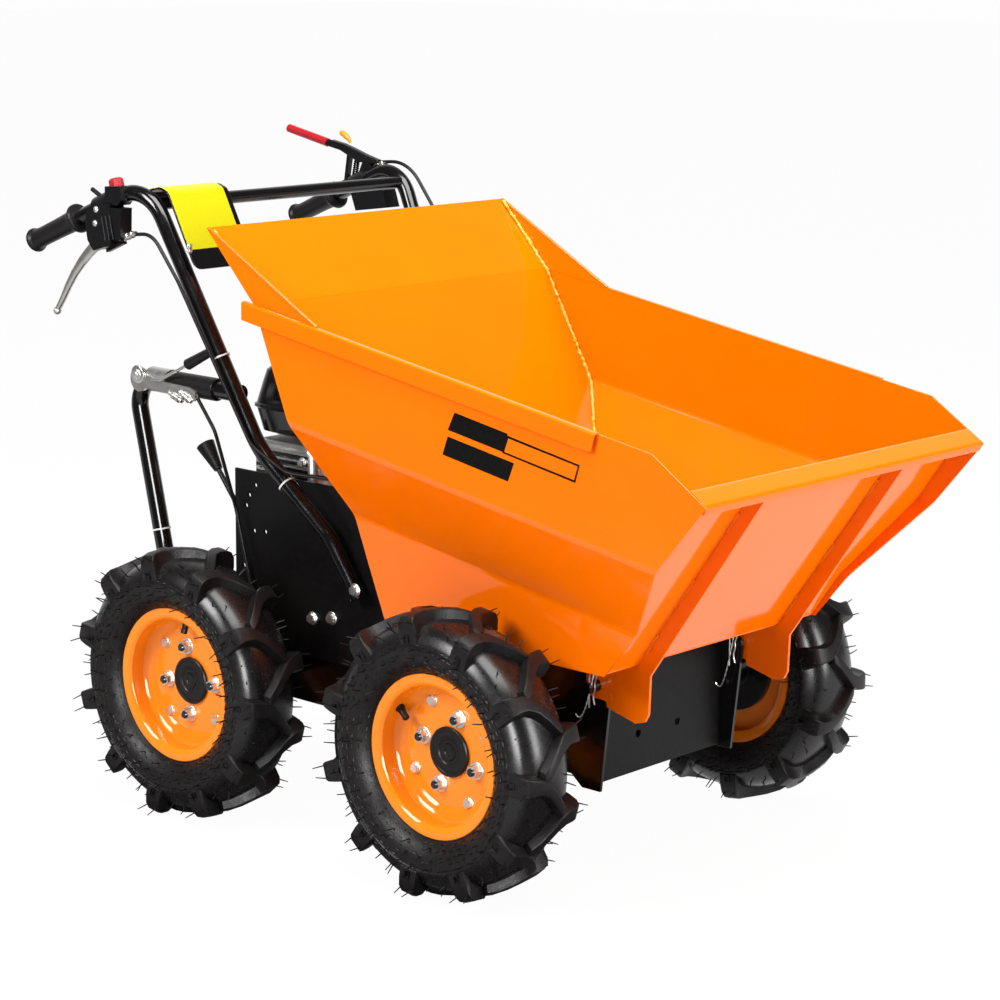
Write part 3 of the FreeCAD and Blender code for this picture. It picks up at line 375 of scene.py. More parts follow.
def place(bm, name, body, material, replaces=(), smooth=35.0, sheet=0.0):
    """Turns a bmesh in millimetres into a piece that rides on a body.

    smooth is the angle up to which its edges shade smooth, and sheet the thickness of a
    folded sheet, which grows away from its normals.
    """
    bmesh.ops.scale(bm, vec=(MM, MM, MM), verts=bm.verts)
    mesh = as_mesh(bm, name)
    mesh.shade_smooth()
    mesh.set_sharp_from_angle(angle=math.radians(smooth))
    for each in material if isinstance(material, list) else [material]:
        mesh.materials.append(each)
    piece = bpy.data.objects.new(name, mesh)
    bpy.context.scene.collection.objects.link(piece)
    if sheet:
        thick = piece.modifiers.new("thickness", "SOLIDIFY")
        thick.thickness = sheet * MM
        thick.offset = -1.0
        thick.use_even_offset = True
        edge = piece.modifiers.new("cut edges", "BEVEL")
        edge.width = CUT_EDGE * MM
        edge.segments = 2
        edge.limit_method = "ANGLE"
        edge.angle_limit = math.radians(60.0)
    even = piece.modifiers.new("even faces", "WEIGHTED_NORMAL")
    even.keep_sharp = True
    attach(piece, body)
    if replaces:
        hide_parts(*replaces)
    return piece


def body_of(node):
    for body, nodes in frame["record"]["behaviour"]["bodies"].items():
        if node in nodes:
            return body
    raise KeyError(node)


def copy_of(node, flat=0.4):
    """A merged copy of a frame node in millimetres, its flat areas joined."""
    bm = bmesh.new()
    bm.from_mesh(frame["nodes"][node].data)
    bmesh.ops.scale(bm, vec=(1 / MM,) * 3, verts=bm.verts)
    bmesh.ops.remove_doubles(bm, verts=bm.verts, dist=0.01)
    bmesh.ops.dissolve_limit(bm, angle_limit=math.radians(flat), verts=bm.verts, edges=bm.edges,
                             use_dissolve_boundaries=False, delimit=set())
    return bm


def softened(node, material, width=None, flat=0.4):
    """A frame node with its hard edges rounded a little."""
    bm = copy_of(node, flat)
    bevel(bm, sharp_edges(bm), width or sizes().edge / MM)
    return place(bm, node + "_finished", body_of(node), material, [node])


def wide(face, least):
    """True for a face that is more than the cut edge of a sheet."""
    return face.calc_area() / max(e.calc_length() for e in face.edges) > least


def bends(bm, outward, least=4.0):
    """Edges of a sheet's folds, on its outer or its inner face."""
    return [e for e in bm.edges if len(e.link_faces) == 2
            and math.radians(8.0) < e.calc_face_angle(0.0) < math.radians(120.0)
            and all(wide(f, least) for f in e.link_faces) and e.is_convex == outward]


def folded(node, material):
    """A frame node of folded sheet, with round bends and softened cut edges."""
    bm = copy_of(node)
    bend = sizes().bend / MM
    bevel(bm, bends(bm, True), bend, 4)
    bevel(bm, bends(bm, False), bend / 2, 4)
    bevel(bm, sharp_edges(bm, 50.0), CUT_EDGE)
    return place(bm, node + "_finished", body_of(node), material, [node])


# ------------------------------------------------------------ shapes
def lathe(profile, at=ORIGIN, axis=UP, steps=64):
    """A piece turned about an axis; the profile's columns are distance along it and radius."""
    bm = bmesh.new()
    points = [bm.verts.new((r, 0, along)) for along, r in profile]
    edges = [bm.edges.new(pair) for pair in zip(points, points[1:])]
    if profile[0][1] > 0.01 and profile[-1][1] > 0.01:
        edges.append(bm.edges.new((points[-1], points[0])))
    bmesh.ops.spin(bm, geom=points + edges, cent=ORIGIN, axis=UP, angle=math.tau, steps=steps,
                   use_merge=True, use_duplicate=False)
    bmesh.ops.remove_doubles(bm, verts=bm.verts, dist=0.001)
    bmesh.ops.transform(bm, matrix=facing(at, axis), verts=bm.verts)
    bmesh.ops.recalc_face_normals(bm, faces=bm.faces)
    return bm


def turned(start, end, profile, steps=20):
    """A turned piece between two points; the profile's columns are share of the way, radius."""
    start, end = Vector(start), Vector(end)
    long = (end - start).length
    return lathe([(share * long, radius) for share, radius in profile], start, end - start, steps)


def loft(stations, steps=14, square=1.0, along=None):
    """A bar of oval section: its stations are a centre, half its height and half its width.

    Its width runs across the machine; square below one makes the section boxy; along holds
    every section square to one direction.
    """
    bm = bmesh.new()
    across = Vector(ACROSS)
    loops = []
    for i, (centre, tall, broad) in enumerate(stations):
        ahead = Vector(stations[min(i + 1, len(stations) - 1)][0]) \
            - Vector(stations[max(i - 1, 0)][0])
        up = across.cross(Vector(along) if along else ahead).normalized()
        ring = []
        for j in range(steps):
            turn = math.tau * (j + 0.5) / steps
            c, s = (math.copysign(abs(v) ** square, v) for v in (math.cos(turn), math.sin(turn)))
            ring.append(bm.verts.new(Vector(centre) + up * tall * c + across * broad * s))
        loops.append([bm.edges.new(pair) for pair in zip(ring, ring[1:] + ring[:1])])
    for near, far in zip(loops, loops[1:]):
        bmesh.ops.bridge_loops(bm, edges=near + far)
    for end in (loops[0], loops[-1]):
        bmesh.ops.edgeloop_fill(bm, edges=end)
    bmesh.ops.recalc_face_normals(bm, faces=bm.faces)
    return bm


def curve_mesh(spline_kind, points, radius, roundness, steps=1, handles=None, radii=None):
    """A round bar along a curve, as a bmesh."""
    data = bpy.data.curves.new("route", "CURVE")
    data.dimensions = "3D"
    data.bevel_depth = radius
    data.bevel_resolution = roundness
    data.use_fill_caps = True
    data.resolution_u = steps
    spline = data.splines.new(spline_kind)
    if spline_kind == "BEZIER":
        spline.bezier_points.add(len(points) - 1)
        for knot, point, (before, after) in zip(spline.bezier_points, points, handles):
            knot.handle_left_type = knot.handle_right_type = "FREE"
            knot.co, knot.handle_left, knot.handle_right = point, before, after
    else:
        spline.points.add(len(points) - 1)
        for knot, point in zip(spline.points, points):
            knot.co = (*point, 1.0)
    if spline_kind == "NURBS":
        spline.order_u = 3
        spline.use_endpoint_u = True
    for knot, value in zip(spline.points, radii or []):
        knot.radius = value
    holder = bpy.data.objects.new("route", data)
    mesh = bpy.data.meshes.new_from_object(holder)
    bm = bmesh.new()
    bm.from_mesh(mesh)
    bpy.data.objects.remove(holder)
    bpy.data.curves.remove(data)
    bpy.data.meshes.remove(mesh)
    bmesh.ops.remove_doubles(bm, verts=bm.verts, dist=0.001)
    bmesh.ops.recalc_face_normals(bm, faces=bm.faces)
    return bm


def bent_bar(route, bend_radii, radius):
    """A round bar of straight runs joined by arcs, one radius for each inner corner."""
    corners = [Vector(p) for p in route]
    knots, pulls = [corners[0]], [0.0]
    for i, bend in enumerate(bend_radii, 1):
        back = (corners[i - 1] - corners[i]).normalized()
        ahead = (corners[i + 1] - corners[i]).normalized()
        half = back.angle(ahead) / 2
        reach = bend / math.tan(half)
        # the handle's length that brings a curve nearest to an arc of this sweep
        pull = 4 / 3 * math.tan((math.pi - 2 * half) / 4) * bend
        knots += [corners[i] + back * reach, corners[i] + ahead * reach]
        pulls += [pull, -pull]
    knots.append(corners[-1])
    pulls.append(0.0)
    handles = []
    stub = 2.0
    for i, (knot, pull) in enumerate(zip(knots, pulls)):
        if pull > 0:
            run = (knot - knots[i - 1]).normalized()
            handles.append((knot - run * stub, knot + run * pull))
        elif pull < 0:
            run = (knots[i + 1] - knot).normalized()
            handles.append((knot + run * pull, knot + run * stub))
        else:
            handles.append((knot, knot))
    return curve_mesh("BEZIER", knots, radius, 6, 10, handles)


def block(low, high, round_by):
    """A rounded block between two corners."""
    bm = bmesh.new()
    bmesh.ops.create_cube(bm, size=1.0)
    low, high = Vector(low), Vector(high)
    bmesh.ops.scale(bm, vec=high - low, verts=bm.verts)
    bmesh.ops.translate(bm, vec=(low + high) / 2, verts=bm.verts)
    bevel(bm, bm.edges, round_by, 1)
    return bm


def hex_bolt(across, head, washer):
    """A hexagon head or nut on its washer, looking along +Z.

    across is the size over its flats, head its height and washer its washer's radius.
    """
    bm = bmesh.new()
    bmesh.ops.create_circle(bm, cap_ends=True, segments=6,
                            radius=across / 2 / math.cos(math.pi / 6))
    raise_faces(bm, bm.faces[:], (0, 0, head))
    bmesh.ops.recalc_face_normals(bm, faces=bm.faces)
    bmesh.ops.translate(bm, vec=(0, 0, 1.5), verts=bm.verts)
    bevel(bm, sharp_edges(bm, 30.0), 0.9)
    return join(bm, lathe([(0, 0), (0, washer), (1.2, washer), (1.6, washer - 0.5), (1.6, 0)],
                          steps=32))


# ------------------------------------------------------------ wheels
TRACK_HALF = 325.0
TYRE_RADIUS = 204.0
# how many degrees the first lug of each tyre stands round from the front
LUG_START = 33.0
# the mould is polished outside this radius, between the lugs
GLOSS_FROM = 162.0

# carcass between the lugs: distance outboard of the tyre's middle, radius
CARCASS = [(28.0, 102.6), (30.6, 109.0), (31.5, 117.2), (36.0, 119.6), (44.0, 127.0),
           (50.0, 138.0), (52.6, 149.0), (52.8, 156.0), (54.0, 158.0), (53.8, 160.5),
           (52.0, 165.0), (47.5, 174.0), (40.0, 181.5), (28.0, 187.0), (14.0, 189.6),
           (0.0, 190.0)]
# a lug along its length: outboard and radius at its top and at its foot, lead in degrees,
# width at the top and at the foot
LUG = [
    ((-23.0, 200.0), (-23.0, 182.0), 14.0, 15.0, 22.0),
    ((-12.0, 203.0), (-12.0, 184.0), 11.0, 19.0, 27.0),
    ((2.0, 204.0), (2.0, 185.0), 6.5, 20.0, 28.0),
    ((16.0, 203.8), (16.0, 184.0), 2.5, 20.0, 28.0),
    ((30.0, 203.0), (30.0, 180.0), 0.4, 21.0, 29.0),
    ((44.0, 201.5), (42.0, 172.0), 0.0, 23.0, 31.0),
    ((52.5, 198.0), (47.0, 166.0), 0.0, 26.0, 34.0),
    ((56.5, 190.0), (48.0, 162.0), 0.0, 29.0, 36.0),
    ((57.4, 176.0), (48.0, 158.0), 0.0, 30.0, 36.0),
    ((55.6, 161.0), (47.0, 153.0), 0.0, 31.0, 36.0),
]
LUG_EDGE = 2.4
# the raised frame on a lug's shoulder: its size, its line's width and height, its place, and
# how it tilts in radians
MARK_SIZE = (13.0, 9.0, 1.0)
MARK_LINE = 1.8
MARK_HEIGHT = 1.3
MARK_AT = (168.0, 0, 57.0)
MARK_TILT = 0.06
# hairs at a lug's end and on its shoulder: radius, outboard, and degrees of lean from radial
END_HAIR = (190.0, 55.5, 70)
SHOULDER_HAIR = (170.0, 57.0, 88)
# hairs past each lug: share of the way to the next one, and the same three
GAP_HAIRS = ((0.35, (178.0, 44.0, 45)), (0.5, (185.0, 33.0, 45)), (0.62, (176.0, 46.0, 45)))
# rows of hairs on the sidewall: radius, outboard, how many
WALL_HAIRS = ((126.0, 43.5, 24), (140.0, 51.0, 30), (153.0, 53.0, 34))
WALL_LEAN = 86
# a hair's radius at its root and at its tip
HAIR_ROOT = 1.1
HAIR_TIP = 0.7
# rows of short nubs on the sidewall
NUB_RADII = (121.0, 129.0, 137.0, 145.0, 153.0, 160.0)
NUB_SPACING = 14.45
NUB_LENGTH = 6.0


def wheel_centre(axle, hand):
    low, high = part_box("tyre_%s_%s" % (axle, hand))
    middle = (Vector(low) / MM + Vector(high) / MM) / 2
    return Vector((middle.x, SIDES[hand] * TRACK_HALF, TYRE_RADIUS))


def on_wheel(axle, hand, angle, radius, outboard):
    """A point on a wheel: its angle from the front, its radius, how far outboard it stands."""
    a = math.radians(angle)
    return wheel_centre(axle, hand) + Vector((radius * math.cos(a), SIDES[hand] * outboard,
                                              radius * math.sin(a)))


def lug_shape():
    """One tread bar on the +Z side of the tyre's middle, at angle zero from +X."""
    bm = bmesh.new()
    bmesh.ops.create_cube(bm, size=1.0)
    along = [e for e in bm.edges if abs(e.verts[0].co.x - e.verts[1].co.x) > 0.5]
    bmesh.ops.subdivide_edges(bm, edges=along, cuts=len(LUG) - 2, use_grid_fill=True)
    widen = sizes().lug_width / MM / LUG_WIDTH
    stations = [[] for _ in LUG]
    for v in bm.verts:
        stations[round((v.co.x + 0.5) * (len(LUG) - 1))].append(v)
    top = set()
    for (crest, foot, lead, crest_width, foot_width), verts in zip(LUG, stations):
        for v in verts:
            upper = v.co.z > 0
            (out, radius), width = (crest, crest_width) if upper else (foot, foot_width)
            side = width * widen / 2 * (1 if v.co.y > 0 else -1)
            angle = -math.radians(lead) - side / radius
            if upper:
                top.add(v)
            v.co = Vector((radius * math.cos(angle), radius * math.sin(angle), out))
    rim = [e for e in bm.edges if all(v in top for v in e.verts)
           and e.calc_face_angle(0.0) > math.radians(35.0)]
    bmesh.ops.recalc_face_normals(bm, faces=bm.faces)
    bevel(bm, rim, LUG_EDGE)
    return bm


def end_mark():
    """The small raised frame on a lug's shoulder."""
    bm = bmesh.new()
    bmesh.ops.create_grid(bm, x_segments=1, y_segments=1, size=0.5)
    bmesh.ops.scale(bm, vec=MARK_SIZE, verts=bm.verts)
    bm.normal_update()
    line = bmesh.ops.inset_region(bm, faces=bm.faces[:], thickness=MARK_LINE,
                                  use_boundary=True)["faces"]
    raise_faces(bm, [f for f in bm.faces if f in line], (0, 0, MARK_HEIGHT))
    return bm


def carcass_shape():
    """The tyre without its lugs, about +Z, glossy on the tread and matt on the sidewalls."""
    bm = lathe(CARCASS + [(-out, radius) for out, radius in CARCASS[-2::-1]], steps=88)
    for face in bm.faces:
        c = face.calc_center_median()
        face.material_index = 1 if math.hypot(c.x, c.y) > GLOSS_FROM else 0
    return bm


def around(shape, places):
    """Copies of a shape round the tyre, some of them mirrored."""
    bm = copies(shape, places)
    bmesh.ops.recalc_face_normals(bm, faces=bm.faces)
    return bm


def hair_shape(long):
    """A thin tapering rubber hair along +Z."""
    bm = bmesh.new()
    bmesh.ops.create_cone(bm, cap_ends=True, segments=5, radius1=HAIR_ROOT, radius2=HAIR_TIP,
                          depth=long)
    bmesh.ops.translate(bm, vec=(0, 0, long / 2 - 0.5), verts=bm.verts)
    return bm


def hair_place(draw, angle, side, spot, long):
    """The root of a hair on one side of the tyre, and its length.

    spot is its radius, how far outboard it stands and how many degrees it leans from radial.
    """
    radius, out, tilt = spot
    lean = Matrix.Rotation(math.radians(90 - side * tilt + draw.uniform(-16, 16)), 4, "Y")
    sway = Matrix.Rotation(math.radians(draw.uniform(-22, 22)), 4, "X")
    root = Matrix.Rotation(angle, 4, "Z") @ Matrix.Translation((radius, 0, side * out))
    return root @ lean @ sway, long


def tyre_hairs(draw, longest):
    """The places and lengths of the hairs at the lugs and in rows, on both sides of a tyre."""
    count = sizes().lugs
    pitch = math.tau / count
    hairs = []
    for side in (1, -1):
        for i in range(count):
            base = (i + (0.0 if side > 0 else 0.5)) * pitch
            for offset in (-0.05, 0.05):
                hairs.append(hair_place(draw, base + offset, side, END_HAIR,
                                        draw.uniform(0.7, 1.0) * longest))
            hairs.append(hair_place(draw, base + draw.uniform(-0.02, 0.02), side,
                                    SHOULDER_HAIR, 0.7 * longest))
            for share, spot in GAP_HAIRS:
                hairs.append(hair_place(draw, base + share * pitch, side, spot,
                                        draw.uniform(0.5, 0.8) * longest))
        for row, (radius, out, number) in enumerate(WALL_HAIRS):
            for i in range(number):
                angle = (i + 0.5 * (row % 2) + draw.uniform(-0.2, 0.2)) * math.tau / number
                spot = (radius + draw.uniform(-2, 2), out, WALL_LEAN)
                hairs.append(hair_place(draw, angle, side, spot,
                                        draw.uniform(0.55, 1.0) * longest))
    return hairs


def wall_at(radius):
    """How far out the carcass wall stands at a radius."""
    for (out, low), (next_out, high) in zip(CARCASS, CARCASS[1:]):
        if low <= radius <= high:
            return out + (next_out - out) * (radius - low) / (high - low)
    raise ValueError(radius)


def tyre_nubs(draw):
    """The places of the short hairs that stand close together on both sidewalls."""
    nubs = []
    for row, radius in enumerate(NUB_RADII):
        number = int(math.tau * radius / NUB_SPACING)
        for i in range(number * 2):
            angle = (i // 2 + 0.5 * (row % 2) + draw.uniform(-0.25, 0.25)) * math.tau / number
            out = (1 if i % 2 else -1) * (wall_at(radius) + 0.3)
            tilt = math.pi / 2 + draw.uniform(-0.3, 0.3)
            nubs.append(Matrix.Rotation(angle, 4, "Z") @ Matrix.Translation((radius, 0, out))
                        @ Matrix.Rotation(tilt, 4, "X"))
    return nubs


def tyre_shape(seed):
    """A whole tyre about +Z: carcass, both rows of lugs and the moulding hairs."""
    pitch = math.tau / sizes().lugs
    flip = Matrix.Scale(-1, 4, UP)
    turns = [Matrix.Rotation(i * pitch, 4, "Z") for i in range(sizes().lugs)]
    turns += [Matrix.Rotation((i + 0.5) * pitch, 4, "Z") @ flip for i in range(sizes().lugs)]
    seat = Matrix.Rotation(MARK_TILT, 4, "Y")
    marks = [turn @ Matrix.Translation(MARK_AT) @ seat for turn in turns]
    parts = [carcass_shape(), around(lug_shape(), turns), around(end_mark(), marks)]
    draw = random.Random(seed)
    longest = sizes().hair / MM
    hairs = tyre_hairs(draw, longest)
    parts.append(copies(hair_shape(NUB_LENGTH), tyre_nubs(draw)))
    # the hairs come in a few lengths, so that each length is one shape
    for tenths in range(5, 11):
        share = [root for root, long in hairs if round(long / longest * 10) == tenths]
        if share:
            parts.append(copies(hair_shape(longest * tenths / 10), share))
    return join(*parts)


class DUMPER_OT_tyres(bpy.types.Operator):
    """Four tyres with chevron lugs, shoulder marks and moulding hairs"""
    bl_idname = "dumper.tyres"
    bl_label = "Tyres"

    def execute(self, context):
        for seed, (axle, hand) in enumerate(WHEELS):
            tag = "%s_%s" % (axle, hand)
            # the tyre's +Z goes outboard and its angle zero to the front
            upright = Matrix.Rotation(math.radians(-90.0 * SIDES[hand]), 4, "X")
            turn = Matrix.Rotation(math.radians(-LUG_START * SIDES[hand]), 4, "Z")
            at = Matrix.Translation(wheel_centre(axle, hand))
            bm = tyre_shape(seed)
            bmesh.ops.transform(bm, matrix=at @ upright @ turn, verts=bm.verts)
            place(bm, "tyre_%s_tread" % tag, "wheel_" + tag,
                  [rubber_matt(), rubber_gloss()], ["tyre_" + tag], smooth=28.0)
        return {"FINISHED"}


# rim from the disc's bore round both flanges: outboard of the middle, radius
RIM = [(-5.0, 24.4), (-5.0, 78.0), (-3.4, 81.0), (-0.5, 84.5), (0.6, 88.0), (3.2, 94.0),
       (8.0, 97.4), (22.0, 98.2), (28.2, 99.0), (31.4, 102.0), (32.6, 106.0), (33.0, 112.0),
       (32.8, 115.0), (31.6, 116.0), (30.3, 115.2), (30.0, 111.0), (30.0, 105.0), (28.0, 101.6),
       (-28.0, 101.6), (-30.0, 105.0), (-30.0, 115.0), (-31.5, 116.0), (-33.0, 115.0),
       (-33.0, 106.0), (-29.0, 98.8), (-8.0, 98.6), (-8.0, 24.4)]
# where the disc's face stands, outboard of the wheel's middle
DISC_AT = -5.0
# circles of the nuts and bolts and the angles on them, for each axle
NUT_CIRCLE = 52.0
BOLT_CIRCLE = 75.0
NUTS = {"front": (165.0, 72.0, -19.0, -111.0), "rear": (101.0, -173.0, 3.0, -95.0)}
BOLTS = {"front": (117.0, 27.0, -62.0, -151.0), "rear": (47.0, 140.0, -43.0, -131.0)}
STUD = [(9, 0), (9, 6.0), (13.5, 6.0), (15.0, 4.6), (15.0, 0)]
# the tyre valve's angle, and the radius and outboard place of its foot and of its tip
VALVE = {"front": 150.0, "rear": 87.0}
VALVE_FOOT = (98.0, 8.0)
VALVE_TIP = (76.0, 14.0)


def valve_stem(foot, tip):
    """A rubber tyre valve with its button at the rim and its screwed cap."""
    reach = (tip - foot).length
    return lathe([(0, 0), (0, 8.0), (2.0, 7.4), (3.0, 5.6), (reach * 0.6, 4.6),
                  (reach * 0.62, 4.0), (reach * 0.66, 4.9), (reach - 1, 4.9), (reach, 4.0),
                  (reach, 0)], foot, tip - foot, 20)


class DUMPER_OT_rims(bpy.types.Operator):
    """Pressed rims with their wheel nuts, disc bolts and tyre valves"""
    bl_idname = "dumper.rims"
    bl_label = "Rims"

    def execute(self, context):
        for axle, hand in WHEELS:
            tag = "%s_%s" % (axle, hand)
            body = "wheel_" + tag
            out = (0, SIDES[hand], 0)
            place(lathe(RIM, wheel_centre(axle, hand), out, 96), "rim_%s_pressed" % tag, body,
                  rim_coat(), ["rim_" + tag], smooth=32.0)
            seats = [on_wheel(axle, hand, a, NUT_CIRCLE, DISC_AT) for a in NUTS[axle]]
            nuts = [facing(at, out, math.radians(a)) for at, a in zip(seats, NUTS[axle])]
            place(copies(hex_bolt(17.0, 10.0, 12.5), nuts), "wheel_nuts_" + tag, body,
                  zinc_plate())
            place(copies(lathe(STUD, steps=24), [facing(at, out) for at in seats]),
                  "wheel_studs_" + tag, body, black_coat())
            bolts = [facing(on_wheel(axle, hand, a, BOLT_CIRCLE, DISC_AT), out,
                            math.radians(a * 2)) for a in BOLTS[axle]]
            place(copies(hex_bolt(12.0, 5.0, 8.5), bolts), "disc_bolts_" + tag, body,
                  zinc_plate())
            stem = valve_stem(on_wheel(axle, hand, VALVE[axle], *VALVE_FOOT),
                              on_wheel(axle, hand, VALVE[axle], *VALVE_TIP))
            place(stem, "tyre_valve_" + tag, body, grip_vinyl())
        return {"FINISHED"}


# the dust cap: how far outboard of the wheel's middle it covers the hub's end, how far its
# foot is sunk below that, and its profile
CAP_AT = -4.0
CAP_SUNK = 0.8
CAP = [(0, 0), (0, 33.0), (1.2, 35.5), (4.0, 35.5), (5.4, 34.0), (5.6, 30.5), (4.6, 29.0),
       (4.4, 22.5), (5.2, 21.0), (5.4, 18.0), (4.2, 16.5), (4.0, 13.0), (5.6, 12.0), (6.4, 10.0),
       (6.0, 6.0), (4.8, 4.8), (4.6, 0)]


class DUMPER_OT_hubs(bpy.types.Operator):
    """Hubs with their half-shafts, flanges and round dust caps"""
    bl_idname = "dumper.hubs"
    bl_label = "Hubs"

    def execute(self, context):
        for axle, hand in WHEELS:
            side = SIDES[hand]
            tag = "%s_%s" % (axle, hand)
            hub = softened("hub_" + tag, black_coat(), flat=0.2)
            for v in hub.data.vertices:
                # the spigot's end stands only as far out as the wide cap that covers it
                v.co.y = side * min(side * v.co.y, (TRACK_HALF + CAP_AT) * MM)
            foot = wheel_centre(axle, hand) + Vector((0, side * (CAP_AT - CAP_SUNK), 0))
            place(lathe(CAP, foot, (0, side, 0), 56), "hub_cap_" + tag, "wheel_" + tag,
                  black_abs())
        return {"FINISHED"}


# ------------------------------------------------------------ chassis
# bolts on the engine bay's right side and how far each head is turned; the left has the same
BAY_BOLTS = [((-35, -213, 364), 0.3), ((-111, -187, 304), 0.7), ((-152, -187, 297), 0.1)]


class DUMPER_OT_chassis(bpy.types.Operator):
    """Side plates, front plate, deck, axle housings, drive shaft and their bolts"""
    bl_idname = "dumper.chassis"
    bl_label = "Chassis"

    def execute(self, context):
        for node in ("frame_sides", "tub_rest_bar", "engine_deck",
                     "front_axle_housing", "rear_axle_housing", "hinge_pins"):
            softened(node, black_coat())
        for node in ("engine_bay_sides", "front_plate"):
            softened(node, satin_coat())
        softened("drive_shaft", zinc_plate())
        bolts = [facing(at, (0, -1, 0), turn) for at, turn in BAY_BOLTS]
        bolts += [facing((x, -y, z), ACROSS) for (x, y, z), turn in BAY_BOLTS]
        place(copies(hex_bolt(13.0, 6.0, 10.0), bolts), "bay_bolts", "frame",
              zinc_plate())
        return {"FINISHED"}


# ------------------------------------------------------------ tub
# the tub's bends and rim fall this many degrees towards the front
TUB_TILT = 9.1
SHEET = 2.5
# a sheet is drawn from here, and this far, along the bends before its outline is cut
DRAWN_FROM = -400.0
DRAWN_LENGTH = 1300.0
# the right wall's section across the bends, in y and height, from the floor to the rim
WALL = [(-238.0, 255.0), (-238.0, 475.0), (-314.0, 599.0), (-314.0, 749.5)]
WALL_OUTLINE = [(52.0, 332.0), (461.0, 332.0), (687.0, 606.0), (596.5, 664.0), (-137.5, 784.6),
                (-136.8, 781.5)]
# the rolled rim, along the inside of its fold
RIM_FOLD = [(-311.5, 750.8), (-320.5, 750.8), (-320.5, 724.0)]
RIM_BEND = 3.8
RIM_OUTLINE = [(-156.8, 600.0), (470.0, 520.0), (503.0, 655.0), (596.0, 665.0),
               (600.0, 760.0), (-156.8, 860.0)]
# the front panel's foot in x and z, how far it leans forward for its height, and its ribs'
# place and size
PANEL_FOOT = (455.0, 332.0)
PANEL_LEAN = 0.7
RIB_AT = 156.5
RIB_HALF = 3.0
RIB_HEIGHT = 248.0
# the left-hand seam inside the tub, from the guard down to the floor, and the guard's hem there
SEAM = [(-225.0, 308.6, 881.0), (-131.6, 308.6, 781.0), (-35.5, 308.6, 612.7),
        (44.0, 233.0, 474.5), (123.0, 232.5, 336.5)]
HEM = [(-232.0, 313.0, 883.5), (-9.0, 313.0, 762.0)]
# the welds along each rib, as shares of its height, and how far they stand off the panel
RIB_WELDS = ((0.08, 0.2), (0.42, 0.55), (0.84, 0.95))
RIB_WELD_OFF = 0.4
SEAM_RADIUS = 3.4
RIB_WELD_RADIUS = 3.0
HEM_RADIUS = 2.2
# films on the right wall: corners in x and z, and the line's width where only a frame is left
FILMS = [
    ([(257.0, 674.5), (353.5, 658.0), (345.0, 632.5), (244.5, 649.5)], 0.0),
    ([(352.5, 655.5), (479.5, 633.0), (472.0, 608.7), (344.0, 631.0)], 4.0),
    ([(244.5, 640.5), (365.0, 620.0), (354.6, 594.1), (235.0, 614.5)], 0.0),
]
FILM_THICK = 0.25


def outline_cut(bm, outline):
    """Keeps what lies inside a convex outline in x and z, across the whole width."""
    middle = sum((Vector(p) for p in outline), Vector((0, 0))) / len(outline)
    for (ax, az), (bx, bz) in zip(outline, outline[1:] + outline[:1]):
        normal = Vector((bz - az, 0, ax - bx)).normalized()
        if normal.dot(Vector((middle.x - ax, 0, middle.y - az))) > 0:
            normal.negate()
        bmesh.ops.bisect_plane(bm, geom=bm.verts[:] + bm.edges[:] + bm.faces[:], dist=0.001,
                               plane_co=(ax, 0, az), plane_no=normal, clear_outer=True)


def tilted_sheet(section, side, fold_widths, outline):
    """A folded sheet along the tub's tilted bends, cut to an outline in x and z.

    The section is the right-hand one; its columns are y and the height square to the bends.
    """
    section = [(-side * y, height) for y, height in section]
    bm = drawn([(DRAWN_FROM, y, height) for y, height in section], (DRAWN_LENGTH, 0, 0))
    for (y, height), width in zip(section[1:-1], fold_widths):
        fold = [e for e in bm.edges if len(e.link_faces) == 2
                and all(abs(v.co.y - y) + abs(v.co.z - height) < 0.01 for v in e.verts)]
        bevel(bm, fold, width, 5)
    bmesh.ops.rotate(bm, cent=ORIGIN, verts=bm.verts,
                     matrix=Matrix.Rotation(math.radians(TUB_TILT), 3, "Y"))
    outline_cut(bm, outline)
    face_towards(bm, (0, side, 0))
    return bm


def weld(points, radius, seed, pitch=2.6):
    """A hand-laid bead along straight runs: uneven ripples, pitch apart."""
    draw = random.Random(seed)
    line = []
    for a, b in zip(points, points[1:]):
        a, b = Vector(a), Vector(b)
        steps = max(2, int((b - a).length / pitch))
        line += [a.lerp(b, i / steps) for i in range(steps)]
    line.append(Vector(points[-1]))
    spread = [p + Vector([draw.uniform(-0.22, 0.22) * radius for _ in range(3)]) for p in line]
    swell = [0.72 + 0.35 * noise.noise(p * 0.11) + draw.uniform(-0.22, 0.3) for p in line]
    return curve_mesh("POLY", spread, radius, 1, radii=swell)


def film(corners, border):
    """A thin flat film on the right wall; with a border only its frame is left."""
    bm = bmesh.new()
    bm.faces.new([bm.verts.new((x, WALL[-1][0], z)) for x, z in corners])
    if border:
        bm.normal_update()
        made = bmesh.ops.inset_region(bm, faces=bm.faces[:], thickness=border,
                                      use_boundary=True)["faces"]
        inner = [f for f in bm.faces if f not in made]
        bmesh.ops.delete(bm, geom=inner, context="FACES_ONLY")
    bmesh.ops.recalc_face_normals(bm, faces=bm.faces)
    raise_faces(bm, bm.faces[:], (0, -FILM_THICK, 0))
    bmesh.ops.recalc_face_normals(bm, faces=bm.faces)
    return bm


